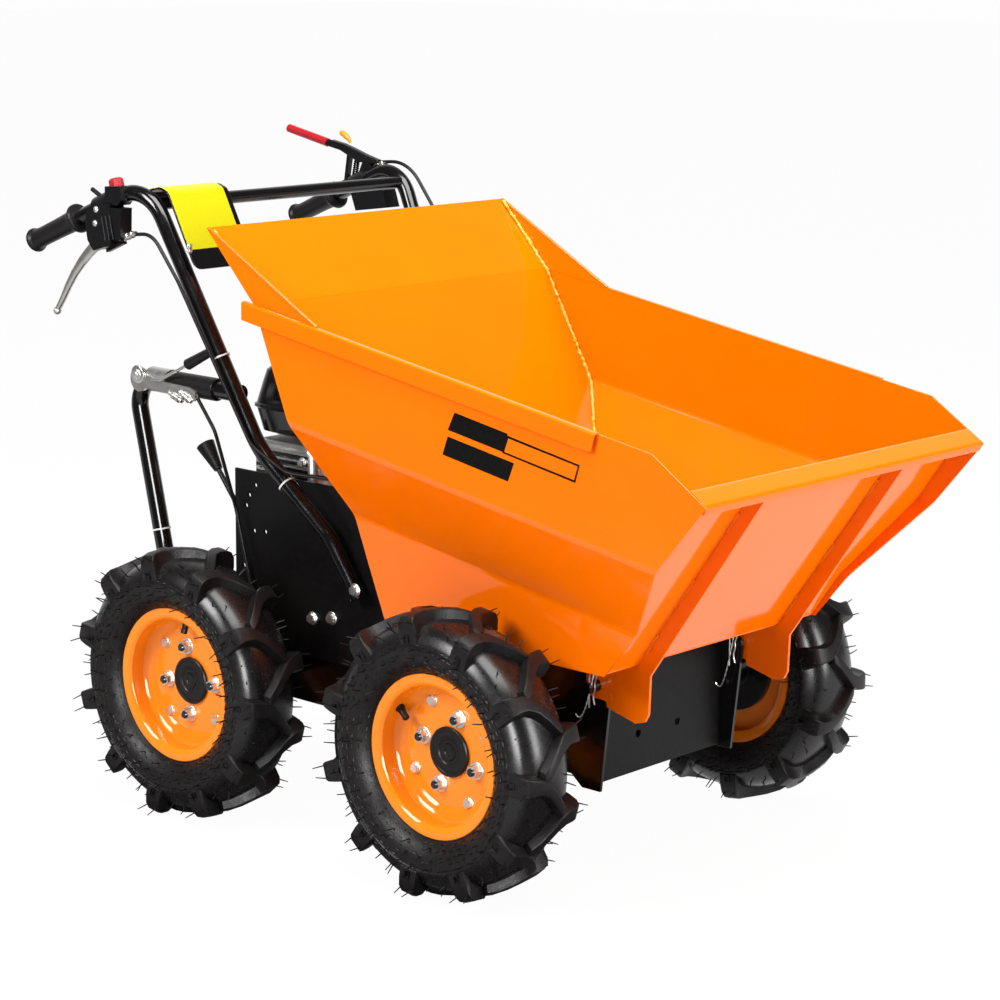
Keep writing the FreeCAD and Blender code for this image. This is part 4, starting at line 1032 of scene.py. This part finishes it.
class DUMPER_OT_tub(bpy.types.Operator):
    """The folded and welded tub with its ribs and hinge ears"""
    bl_idname = "dumper.tub"
    bl_label = "Tub"

    def execute(self, context):
        bend = sizes().bend / MM
        for hand, side in SIDES.items():
            wall = tilted_sheet(WALL, side, (bend, bend), WALL_OUTLINE)
            rim = tilted_sheet(RIM_FOLD, side, (RIM_BEND,), RIM_OUTLINE)
            for name, bm in (("tub_wall_", wall), ("tub_rim_fold_", rim)):
                place(bm, name + hand, "tub", orange_coat(),
                      ["tub_side_" + hand], sheet=SHEET)
        folded("tub_front_panel", orange_coat())
        for node in ("tub_rear_wall", "tub_spill_guard", "tub_floor",
                     "tub_ribs_with_hinge_ears"):
            softened(node, orange_coat(), width=0.6)
        return {"FINISHED"}


class DUMPER_OT_welds(bpy.types.Operator):
    """Weld beads inside the tub and along the ribs, and the spill guard's hems"""
    bl_idname = "dumper.welds"
    bl_label = "Welds"

    def execute(self, context):
        foot_x, foot_z = PANEL_FOOT
        seams, tacks, hems = [], [], []
        for seed, side in enumerate(SIDES.values()):
            seams.append(weld(on_side(SEAM, side), SEAM_RADIUS, seed))
            hems.append(curve_mesh("POLY", on_side(HEM, side), HEM_RADIUS, 3))
            for offset in (RIB_HALF, -RIB_HALF):
                for low, high in RIB_WELDS:
                    run = [(foot_x + PANEL_LEAN * RIB_HEIGHT * share + RIB_WELD_OFF,
                            side * (RIB_AT + offset), foot_z + RIB_HEIGHT * share)
                           for share in (low, high)]
                    tacks.append(weld(run, RIB_WELD_RADIUS, seed * 10 + int(low * 100)))
        # the seams' beads carry painted glints in their paler coat
        for beads, name, coat in ((seams, "weld_beads", weld_coat_painted_glints()),
                                  (tacks, "rib_welds", orange_coat()),
                                  (hems, "guard_hems", orange_coat())):
            place(join(*beads), name, "tub", coat, smooth=60.0)
        return {"FINISHED"}


class DUMPER_OT_films(bpy.types.Operator):
    """Plain black films on the tub's right-hand wall"""
    bl_idname = "dumper.films"
    bl_label = "Films"

    def execute(self, context):
        place(join(*[film(*each) for each in FILMS]), "side_films", "tub",
              black_film())
        return {"FINISHED"}


# ------------------------------------------------------------ handlebars
# the left-hand tube's corners from its grip to its foot, with the bends between them
HANDLE = [(-671.0, 279.0, 828.0), (-418.0, 266.7, 933.0), (-224.0, 226.0, 550.0),
          (-94.0, 208.0, 433.0), (-41.0, 200.0, 348.0)]
HANDLE_BENDS = (62.0, 150.0, 90.0)
# the grip from its end, which stands a little past the tube's, to the flange at its front
GRIP_PAST = 5.0
GRIP = [(0, 0), (0, 12.0), (0.8, 15.5), (2.5, 18.2), (5.0, 19.2), (8.0, 18.6), (10.5, 16.6),
        (13.0, 15.4), (30.0, 15.0), (70.0, 15.4), (98.0, 16.4), (104.0, 17.6), (107.5, 21.0),
        (110.5, 23.0), (114.0, 22.8), (116.6, 20.8), (117.0, 13.0), (117.0, 0)]


class DUMPER_OT_handlebars(bpy.types.Operator):
    """Bent handlebar tubes, crossbar and grips"""
    bl_idname = "dumper.handlebars"
    bl_label = "Handlebars"

    def execute(self, context):
        radius = sizes().handle_tube / MM / 2
        grips = []
        for hand, side in SIDES.items():
            route = on_side(HANDLE, side)
            place(bent_bar(route, HANDLE_BENDS, radius), "handle_tube_" + hand, "frame",
                  black_coat(), ["handlebar_" + hand], smooth=50.0)
            end = Vector(route[0])
            run = (Vector(route[1]) - end).normalized()
            grips.append(lathe(GRIP, end - run * GRIP_PAST, run, 40))
        softened("handlebar_crossbar", black_coat(), flat=0.2)
        place(join(*grips), "grips", "frame", grip_vinyl(),
              ["handlebar_grips"], smooth=45.0)
        return {"FINISHED"}


# ------------------------------------------------------------ console
# the plate's section in x and z from behind the crossbar over it, and its lower end
OVER_BAR = [(-434.0, 908.0), (-425.0, 923.0), (-398.0, 928.5), (-379.0, 922.0)]
PLATE_END = (-334.0, 839.0)
PLATE_SIDES = (-260.0, -152.0)
PLATE_THICK = 1.2
# the bracket lies under it, wider and longer, with its lower corners cut off
BRACKET_BELOW = 1.4
BRACKET_END = (-320.0, 811.0)
BRACKET_SIDES = (-261.0, -142.0)
BRACKET_THICK = 2.5
BRACKET_CORNER = 14.0
CONSOLE_BOLTS = ((-333.0, -262.0, 844.0), (-333.0, -262.0, 837.5))
CONSOLE_NORMAL = (0.88, 0, 0.47)


def bent_plate(section, sides, corner=0.0):
    """A sheet bent along a section in x and z, its lowest corners cut off."""
    inner, outer = sides
    bm = drawn([(x, inner, z) for x, z in section], (0, outer - inner, 0))
    bevel(bm, [e for e in bm.edges if len(e.link_faces) == 2], 5.0, 4)
    if corner:
        foot = min(v.co.z for v in bm.verts) + 0.01
        bmesh.ops.bevel(bm, geom=[v for v in bm.verts if v.co.z < foot], offset=corner,
                        segments=4, profile=0.5, affect="VERTICES", material=-1)
    face_towards(bm, (1, 0, 0))
    return bm


class DUMPER_OT_console(bpy.types.Operator):
    """The blank yellow plate over the crossbar and its wider black bracket"""
    bl_idname = "dumper.console"
    bl_label = "Console"

    def execute(self, context):
        place(bent_plate(OVER_BAR + [PLATE_END], PLATE_SIDES), "console_film", "frame",
              yellow_film(), ["console_plate"], sheet=PLATE_THICK)
        under = [(x - BRACKET_BELOW, z - BRACKET_BELOW) for x, z in OVER_BAR]
        place(bent_plate(under + [BRACKET_END], BRACKET_SIDES, BRACKET_CORNER),
              "console_backing", "frame", black_coat(), ["console_bracket"],
              sheet=BRACKET_THICK)
        spots = [facing(at, CONSOLE_NORMAL) for at in CONSOLE_BOLTS]
        place(copies(hex_bolt(7.0, 3.0, 4.5), spots), "console_bolts", "frame",
              zinc_plate())
        return {"FINISHED"}


# ------------------------------------------------------------ hand controls
# both levers swing in a plane this far from the machine's middle
LEVERS_AT = 276.0
# the brake lever's middle in x and z, with half its height, from the housing to the ball
BRAKE = [(-519.0, 835.5, 10.0), (-533.0, 830.0, 9.8), (-549.0, 817.0, 9.2),
         (-565.0, 803.0, 8.4), (-582.0, 785.0, 7.4), (-598.0, 764.0, 6.4),
         (-611.0, 744.0, 5.4), (-622.0, 729.0, 4.6), (-627.0, 722.0, 4.0)]
BRAKE_HALF = 5.5
BALL_RADIUS = 6.6
BALL = [(0, 0), (1.4, 3.8), (4.0, 6.0), (BALL_RADIUS, BALL_RADIUS), (9.2, 6.0), (11.8, 3.8),
        (2 * BALL_RADIUS, 0)]
# the stop switch: its foot and top, its knob's profile, and the collar that it stands in
STOP_FOOT = (-476.0, -273.0, 905.0)
STOP_TOP = (-485.5, -273.0, 936.5)
KNOB = [(0.5, 0), (0.5, 9.5), (0.56, 11.5), (0.88, 11.5), (0.97, 9.0), (1.0, 0)]
COLLAR = [((-474.0, -273.0, 897.0), 13.0, 12.5), ((-481.0, -273.0, 921.5), 12.0, 12.0)]
# raised lines on the right housing: the lower end of each, and how the line runs up from it
HOUSING_FACE = -290.2
HOUSING_LINES = ((-491.0, 842.0), (-482.0, 844.0), (-473.0, 846.0))
LINE_RUN = (-8.0, 36.0)
SCREWS = ((-512.0, -289.0, 888.0), (-515.0, -289.0, 867.0))
SCREW = [(0, 0), (0, 5.2), (1.6, 5.0), (3.2, 3.4), (4.0, 0)]
# cable adjusters, right and left, and the profile of each along its way
ADJUSTERS = (((-472.0, -LEVERS_AT, 845.0), (-436.0, -LEVERS_AT, 857.0)),
             ((-486.0, LEVERS_AT, 920.0), (-456.0, LEVERS_AT, 930.0)))
ADJUSTER = [(0.0, 0), (0.0, 3.4), (0.3, 3.4), (0.32, 5.4), (0.5, 5.4), (0.52, 4.2), (0.6, 4.2),
            (0.62, 5.6), (0.8, 5.6), (0.82, 3.8), (1.0, 3.4), (1.0, 0)]
# under the clutch lever: a flat strut and a spring beside it
STRUT = [((-541.0, LEVERS_AT, 936.0), 4.0, 3.0), ((-549.0, LEVERS_AT, 896.0), 4.0, 3.0)]
SPRING_TOP = (-523.0, LEVERS_AT, 934.0)
SPRING_FOOT = (-530.0, LEVERS_AT, 902.0)
SPRING_RADII = (5.6, 4.2)
SPRING_RINGS = 18
# the catch on the clutch lever: middle in x and z, half its height and half its width
CATCH = [(-562.0, 973.0, 3.4, 4.0), (-558.0, 972.0, 4.6, 5.0), (-548.0, 966.5, 4.4, 4.6),
         (-543.0, 962.5, 3.0, 3.4), (-540.0, 957.0, 1.8, 1.8)]


def brake_lever():
    """The cast lever and the ball at its end."""
    blade = loft([((x, -LEVERS_AT, z), tall, BRAKE_HALF) for x, z, tall in BRAKE])
    end_x, end_z = BRAKE[-1][:2]
    ball = lathe(BALL, (end_x, -LEVERS_AT - BALL_RADIUS, end_z), ACROSS, 24)
    return join(blade, ball)


def housing_details():
    """The stop switch's collar and the raised lines on the right housing."""
    parts = [loft(COLLAR, steps=20, square=0.6)]
    for x, z in HOUSING_LINES:
        parts.append(loft([((x + LINE_RUN[0], HOUSING_FACE, z + LINE_RUN[1]), 1.1, 1.0),
                           ((x, HOUSING_FACE, z), 1.1, 1.0)], steps=8))
    return join(*parts)


def control_fittings():
    """Screw heads, the clutch's strut and the cable adjusters."""
    heads = copies(lathe(SCREW, steps=20), [facing(at, (0, -1, 0)) for at in SCREWS])
    strut = loft(STRUT, steps=12, square=0.6)
    return join(heads, strut, *[turned(start, end, ADJUSTER) for start, end in ADJUSTERS])


def clutch_spring():
    """A close-wound spring as rings in a row."""
    rings = [(i / SPRING_RINGS, SPRING_RADII[i % 2]) for i in range(SPRING_RINGS + 1)]
    return turned(SPRING_TOP, SPRING_FOOT, [(0.0, 0)] + rings + [(1.0, 0)])


class DUMPER_OT_controls(bpy.types.Operator):
    """Throttle, stop switch, brake lever, clutch lever and their housings"""
    bl_idname = "dumper.controls"
    bl_label = "Hand controls"

    def execute(self, context):
        for node in ("right_control_housing", "left_control_housing"):
            softened(node, black_abs(), width=1.4)
        place(brake_lever(), "brake_lever_cast", "frame", cast_alloy(),
              ["brake_lever"])
        place(turned(STOP_FOOT, STOP_TOP, KNOB, 12), "stop_knob", "frame",
              red_abs(), ["kill_switch"], smooth=20.0)
        place(housing_details(), "housing_details", "frame", black_abs())
        place(control_fittings(), "control_fittings", "frame", zinc_plate())
        place(clutch_spring(), "clutch_spring", "frame", black_coat())
        catch = loft([((x, LEVERS_AT, z), tall, broad) for x, z, tall, broad in CATCH],
                     square=0.8)
        place(catch, "clutch_catch", "frame", amber_abs())
        softened("clutch_lever", black_abs(), width=2.0)
        softened("clutch_lever_perch", black_abs(), width=1.0)
        softened("clutch_lever_sleeve", red_abs(), width=2.0)
        return {"FINISHED"}


# ------------------------------------------------------------ ties, clips and guard
# cable ties: middle, the tube's direction, radius
TIES = [((-448.0, -226.0, 395.0), (-69.0, 0.0, 282.0), 13.8),
        ((-290.0, -240.0, 682.0), (-194.0, -40.7, 383.0), 13.2),
        ((-172.0, -218.8, 503.0), (-130.0, -18.0, 117.0), 13.2)]
TIE_WIDE = 2.6
# the spring clip in x and z, from the tub's pin to its loops; where the two clips stand
# across the machine, and how far the bead chain of each hangs down
CLIP = [(384.0, 262.0), (384.0, 296.0), (384.0, 312.0), (392.0, 318.0), (398.0, 309.0),
        (393.0, 299.0), (395.0, 290.0), (390.0, 280.0), (394.0, 268.0)]
CLIPS = ((-177.0, 66.0), (135.0, 84.0))
# the chain: how many beads and necks, its mean radius and the share of it that a neck and a
# bead have, its upper end in x and z, and how far it runs back and across
BEADS = 25
CHAIN_RADIUS = 0.8
BEAD_SWELL = (0.6, 1.7)
CHAIN_FROM = (392.0, 312.0)
CHAIN_RUN = (-30.0, -3.0)
# the left-hand guard tube's corners, from its foot to its front end, with its bends
GUARD = [(-436.0, 226.0, 304.0), (-436.0, 226.0, 346.0), (-505.0, 226.0, 628.0),
         (-262.0, 226.0, 628.0)]
GUARD_BENDS = (60.0, 42.0)
# the rubber sleeve on the right guard tube's upper run
SLEEVE_ENDS = ((-430.0, -226.0, 628.0), (-312.0, -226.0, 628.0))
SLEEVE = [(0.0, 13.0), (0.0, 16.6), (0.02, 17.4), (0.98, 17.4), (1.0, 16.6), (1.0, 13.0)]
# the release lever's handle is black from here forwards
HANDLE_FROM = -364.0
# its pivot's washers and bolt: radius and y of each, and its cable's ends
PIVOT = (-473.0, 636.0)
PIVOT_DISCS = ((14.0, -246.0), (8.0, -248.5), (4.5, -250.5))
CABLE_ENDS = (((-402.0, -246.0, 616.0), (-372.0, -246.0, 606.0)),
              ((-376.0, -247.0, 620.0), (-350.0, -247.0, 608.0)))


def band_round(at, axis, radius):
    """A cable tie round a tube, with its little lock."""
    half = TIE_WIDE / 2
    ring = lathe([(-half, radius), (-half, radius + 1.0), (half, radius + 1.0), (half, radius)],
                 at, axis, 28)
    lock = block((-2.2, -2.2, 0.0), (2.2, 2.2, 3.4), 0.6)
    side = Vector(axis).normalized().cross(UP).normalized()
    bmesh.ops.transform(lock, matrix=facing(Vector(at) + side * radius, side), verts=lock.verts)
    return join(ring, lock)


def bead_chain(y, drop):
    """Beads on a thread, hanging from a clip towards the plate."""
    from_x, from_z = CHAIN_FROM
    run_x, run_y = CHAIN_RUN
    shares = [i / (BEADS - 1) for i in range(BEADS)]
    hang = [(from_x + run_x * s, y + run_y * s, from_z - drop * math.sin(s * math.pi * 0.62))
            for s in shares]
    swell = [BEAD_SWELL[i % 2] for i in range(BEADS)]
    return curve_mesh("POLY", hang, CHAIN_RADIUS, 1, radii=swell)


class DUMPER_OT_ties(bpy.types.Operator):
    """White cable ties, and the spring clips of the hinge pins on their ball chains"""
    bl_idname = "dumper.ties"
    bl_label = "Ties and clips"

    def execute(self, context):
        place(join(*[band_round(*each) for each in TIES]), "cable_ties", "frame",
              white_nylon())
        wires = []
        for y, drop in CLIPS:
            wires.append(curve_mesh("NURBS", [(x, y, z) for x, z in CLIP], 1.1, 2, 5))
            wires.append(bead_chain(y, drop))
        place(join(*wires), "pin_clips", body_of("hinge_pins"), zinc_plate())
        return {"FINISHED"}


def release_fittings():
    """The release lever's pivot and the ends of its cable."""
    x, z = PIVOT
    parts = [lathe([(0, 0), (0, radius), (2, radius), (3, radius - 1.5), (3, 0)], (x, y, z),
                   (0, -1, 0), 24) for radius, y in PIVOT_DISCS]
    return join(*parts, *[turned(start, end, ADJUSTER) for start, end in CABLE_ENDS])


class DUMPER_OT_guard(bpy.types.Operator):
    """Engine guard tubes, the release lever and its clamp"""
    bl_idname = "dumper.guard"
    bl_label = "Engine guard"

    def execute(self, context):
        radius = sizes().guard_tube / MM / 2
        tubes = [bent_bar(on_side(GUARD, side), GUARD_BENDS, radius)
                 for side in SIDES.values()]
        place(join(*tubes), "guard_tubes", "frame", black_coat(),
              ["engine_guard_tubes"], smooth=50.0)
        softened("release_lever_clamp", cast_alloy(), width=1.2)
        lever = softened("tub_release_lever", zinc_plate())
        lever.data.materials.append(grip_vinyl())
        for face in lever.data.polygons:
            face.material_index = 1 if face.center.x > HANDLE_FROM * MM else 0
        place(turned(*SLEEVE_ENDS, SLEEVE, 32), "guard_sleeve", "frame",
              grip_vinyl())
        place(release_fittings(), "release_fittings", "frame", zinc_plate())
        return {"FINISHED"}


# ------------------------------------------------------------ engine
# the tank's height, rear end and half width, from its foot over the seam to its top
TANK = [(545.5, -346.0, 106.0), (549.0, -355.0, 114.0), (584.0, -364.0, 120.0),
        (586.0, -367.0, 122.5), (590.0, -367.0, 122.5), (592.0, -364.0, 120.0),
        (625.0, -355.0, 114.0), (643.0, -350.0, 110.0), (650.0, -342.0, 104.0),
        (652.0, -326.0, 92.0)]
TANK_FRONT = -133.0
TANK_CAP = [(0, 0), (0, 27.0), (6.0, 27.0), (8.0, 25.0), (8.0, 0)]
TANK_CAP_AT = (-243.0, 0.0, 650.0)
# black bars of painted shade where the exhaust guard's slots are: the lowest one's corners, how
# many and how far apart
SLOT_SHADE = ((-320.0, -144.7, 480.0), (-206.0, -143.6, 485.0))
SLOT_SHADE_COUNT = 5
SLOT_SHADE_PITCH = 11.0
EXHAUST_BOLT = (-216.0, -145.0, 519.0)


def fuel_tank():
    """The tank's two pressed halves, with the seam between them, and its cap."""
    shell = loft([(((rear + TANK_FRONT) / 2, 0.0, z), (TANK_FRONT - rear) / 2, half)
                  for z, rear, half in TANK], steps=64, square=0.25, along=UP)
    return join(shell, lathe(TANK_CAP, TANK_CAP_AT, steps=32))


# the slots' painted shade: one thin black bar for each slot
def painted_slot_shades():
    low, high = SLOT_SHADE
    lifts = [Vector((0, 0, i * SLOT_SHADE_PITCH)) for i in range(SLOT_SHADE_COUNT)]
    return join(*[block(Vector(low) + lift, Vector(high) + lift, 0.5) for lift in lifts])


class DUMPER_OT_engine(bpy.types.Operator):
    """Engine block, fuel tank, exhaust guard, air filter, recoil starter and gear lever"""
    bl_idname = "dumper.engine"
    bl_label = "Engine"

    def execute(self, context):
        softened("engine_block", cast_alloy(), width=3.0)
        place(fuel_tank(), "fuel_tank_pressed", "frame", black_coat(),
              ["fuel_tank"], smooth=30.0)
        softened("exhaust_guard", zinc_plate(), width=1.0)
        # black bars on the exhaust guard: painted shade standing in for its open slots
        place(painted_slot_shades(), "exhaust_slots_painted_shade", "frame", black_coat())
        bolt = [facing(EXHAUST_BOLT, (0, -1, 0))]
        place(copies(hex_bolt(11.0, 5.0, 8.0), bolt), "exhaust_bolt", "frame",
              zinc_plate())
        softened("air_filter_housing", black_abs())
        softened("recoil_starter", black_coat(), width=1.0)
        softened("gear_lever", black_abs())
        softened("control_cables", grip_vinyl(), width=0.3, flat=0.2)
        return {"FINISHED"}


# ------------------------------------------------------------ stage
CAMERA = {"at": (2806.0, -3014.0, 1321.0), "azimuth": 42.40, "elevation": 11.65,
          "roll": 0.44, "lens": 101.33}
# area lamps: name, place, what they face, size across and along, watts, and whether they light
# dull surfaces or only give a reflection
LAMPS = [
    ("overhead", (900.0, -300.0, 3400.0), (0.0, 0.0, 400.0), 2600.0, 2600.0, 178.0, True),
    ("key", (-900.0, -3700.0, 2900.0), (0.0, 0.0, 450.0), 1700.0, 1700.0, 166.0, True),
    ("front side", (3900.0, 900.0, 1300.0), (100.0, 0.0, 400.0), 900.0, 2200.0, 90.0, True),
    ("streak", (2600.0, -3600.0, 950.0), (0.0, 0.0, 500.0), 1500.0, 1800.0, 170.0, False),
]
FLOOR_HALF = 30000.0
# the floor in a mirror image, by metres to the left of the machine's middle: painted light beyond
# the machine and in a strip to its right, up to a painted shadow of the machine
MIRROR_PAINTED_LIGHT_BEYOND = {"From Min": 0.0, "From Max": 0.3, "To Min": 0.06, "To Max": 0.95}
MIRROR_PAINTED_LIGHT_STRIP = {"From Min": -2.2, "From Max": -1.75, "To Max": 0.62}
MIRROR_PAINTED_SHADOW = {"From Min": -0.6, "From Max": -0.4, "To Min": 1.0, "To Max": 0.0}
# the floor's colour in a mirror image, nearly black: painted shade outside the painted light
MIRROR_PAINTED_SHADE = (0.02, 0.02, 0.02, 1.0)
# how much of the floor is plain white to the camera, which leaves the rest to its shadow
FLOOR_WHITE = 0.95
WHITE = (1, 1, 1, 1)


def camera_axes():
    a, e = math.radians(CAMERA["azimuth"]), math.radians(CAMERA["elevation"])
    back = Vector((math.sin(a) * math.cos(e), -math.cos(a) * math.cos(e), math.sin(e)))
    right = Vector((math.cos(a), math.sin(a), 0))
    up = back.cross(right)
    r = math.radians(CAMERA["roll"])
    return (right * math.cos(r) + up * math.sin(r), up * math.cos(r) - right * math.sin(r),
            back)


def studio_paint():
    # matt white paper: nearly white to the camera; in mirror images it is dim painted shade, with
    # painted light where the backdrop's lamps would light it and a painted shadow of the machine
    # beside it
    made = bpy.data.materials.new("studio floor")
    made.use_nodes = True
    tree = made.node_tree
    tree.nodes.clear()
    path = add(tree, "LightPath").outputs
    where = add(tree, "TexCoord").outputs["Object"]
    to_left = add(tree, "SeparateXYZ", {}, {"Vector": where}).outputs["Y"]
    mirrored = add(tree, "Math", {}, {0: path["Is Glossy Ray"], 1: path["Is Transmission Ray"]},
                   operation="MAXIMUM").outputs[0]
    # painted light and a painted shadow on the floor, seen only in mirror images
    beyond = add(tree, "MapRange", MIRROR_PAINTED_LIGHT_BEYOND, {"Value": to_left}).outputs[0]
    strip = add(tree, "MapRange", MIRROR_PAINTED_LIGHT_STRIP, {"Value": to_left}).outputs[0]
    shadow = add(tree, "MapRange", MIRROR_PAINTED_SHADOW, {"Value": to_left}).outputs[0]
    beside = add(tree, "Math", {}, {0: strip, 1: shadow}, operation="MULTIPLY").outputs[0]
    bright = add(tree, "Math", {}, {0: beyond, 1: beside}, operation="MAXIMUM").outputs[0]
    faint = add(tree, "Math", {}, {0: mirrored, 1: bright}, operation="MULTIPLY").outputs[0]
    direct = add(tree, "Math", {1: FLOOR_WHITE}, {0: path["Is Camera Ray"]},
                 operation="MULTIPLY").outputs[0]
    share = add(tree, "Math", {}, {0: faint, 1: direct}, operation="MAXIMUM").outputs[0]
    shade = add(tree, "Mix", {6: tuple(colours().floor) + (1.0,), 7: MIRROR_PAINTED_SHADE},
                {0: mirrored}, data_type="RGBA").outputs[2]
    lit = add(tree, "BsdfDiffuse", {}, {"Color": shade}).outputs[0]
    glow = add(tree, "Emission", {"Color": WHITE, "Strength": 1.02}).outputs[0]
    both = add(tree, "MixShader", {}, {0: share, 1: lit, 2: glow}).outputs[0]
    add(tree, "OutputMaterial", {}, {"Surface": both})
    return made


def studio_floor():
    bm = bmesh.new()
    bmesh.ops.create_grid(bm, x_segments=1, y_segments=1, size=FLOOR_HALF * MM)
    mesh = as_mesh(bm, "floor")
    mesh.materials.append(studio_paint())
    floor = bpy.data.objects.new("floor", mesh)
    bpy.context.scene.collection.objects.link(floor)


def studio_world():
    # the white backdrop stands behind the machine and over it; the room in front is dim
    world = bpy.data.worlds.new("studio")
    world.use_nodes = True
    bpy.context.scene.world = world
    tree = world.node_tree
    tree.nodes.clear()
    path = add(tree, "LightPath").outputs
    way = add(tree, "TexCoord").outputs["Generated"]
    ahead = add(tree, "VectorMath", {1: tuple(-camera_axes()[2])}, {0: way},
                operation="DOT_PRODUCT").outputs["Value"]
    behind = add(tree, "MapRange", {"From Min": 0.3, "From Max": 0.8},
                 {"Value": ahead}).outputs[0]
    mirrored = add(tree, "Math", {}, {0: path["Is Glossy Ray"], 1: behind},
                   operation="MULTIPLY").outputs[0]
    seen = add(tree, "Math", {}, {0: path["Is Camera Ray"], 1: path["Is Transmission Ray"]},
               operation="MAXIMUM").outputs[0]
    share = add(tree, "Math", {}, {0: seen, 1: mirrored}, operation="MAXIMUM").outputs[0]
    room = add(tree, "MapRange", {"To Min": 0.25, "To Max": 0.08},
               {"Value": path["Is Glossy Ray"]}).outputs[0]
    soft = add(tree, "Background", {"Color": WHITE}, {"Strength": room}).outputs[0]
    white = add(tree, "Background", {"Color": WHITE, "Strength": 0.985}).outputs[0]
    both = add(tree, "MixShader", {}, {0: share, 1: soft, 2: white}).outputs[0]
    add(tree, "OutputWorld", {}, {"Surface": both})


def studio_lamps():
    for name, at, target, across, along, watts, lights in LAMPS:
        lamp = bpy.data.lights.new(name, "AREA")
        lamp.shape = "RECTANGLE"
        lamp.size = across * MM
        lamp.size_y = along * MM
        lamp.energy = watts
        holder = bpy.data.objects.new(name, lamp)
        holder.location = Vector(at) * MM
        holder.visible_diffuse = lights
        toward = (Vector(target) - Vector(at)).normalized()
        holder.rotation_mode = "QUATERNION"
        holder.rotation_quaternion = toward.to_track_quat("-Z", "Y")
        bpy.context.scene.collection.objects.link(holder)


def studio_camera():
    data = bpy.data.cameras.new("camera")
    data.sensor_width = 36.0
    data.lens = CAMERA["lens"]
    data.clip_end = 100.0
    holder = bpy.data.objects.new("camera", data)
    turn = Matrix(camera_axes()).transposed().to_4x4()
    holder.matrix_world = Matrix.Translation(Vector(CAMERA["at"]) * MM) @ turn
    bpy.context.scene.collection.objects.link(holder)
    bpy.context.scene.camera = holder


class DUMPER_OT_stage(bpy.types.Operator):
    """Pale floor, studio lamps and the camera"""
    bl_idname = "dumper.stage"
    bl_label = "Stage"

    def execute(self, context):
        context.scene.view_settings.view_transform = "Standard"
        studio_floor()
        studio_world()
        studio_lamps()
        studio_camera()
        return {"FINISHED"}


# ------------------------------------------------------------ add-on
PIECES = (DUMPER_OT_stage, DUMPER_OT_tyres, DUMPER_OT_rims, DUMPER_OT_hubs, DUMPER_OT_chassis,
          DUMPER_OT_tub, DUMPER_OT_welds, DUMPER_OT_films, DUMPER_OT_handlebars,
          DUMPER_OT_console, DUMPER_OT_controls, DUMPER_OT_ties, DUMPER_OT_guard,
          DUMPER_OT_engine)


class DUMPER_PT_pieces(bpy.types.Panel):
    """Lists the dumper's pieces, sizes and colours"""
    bl_label = "Motorized dumper"
    bl_idname = "DUMPER_PT_pieces"
    bl_space_type = "VIEW_3D"
    bl_region_type = "UI"
    bl_category = "Dumper"

    def draw(self, context):
        for kind in PIECES:
            self.layout.operator(kind.bl_idname)
        for group in (sizes(), colours()):
            for key in group.bl_rna.properties.keys():
                if key not in ("rna_type", "name"):
                    self.layout.prop(group, key)


CLASSES = (DumperSizes, DumperColours) + PIECES + (DUMPER_PT_pieces,)


def register():
    for kind in CLASSES:
        bpy.utils.register_class(kind)
    bpy.types.Scene.dumper_sizes = PointerProperty(type=DumperSizes)
    bpy.types.Scene.dumper_colours = PointerProperty(type=DumperColours)


def unregister():
    del bpy.types.Scene.dumper_colours
    del bpy.types.Scene.dumper_sizes
    for kind in reversed(CLASSES):
        bpy.utils.unregister_class(kind)


def main():
    register()
    for kind in PIECES:
        getattr(bpy.ops.dumper, kind.bl_idname.split(".")[1])()


if __name__ == "__main__":
    main()
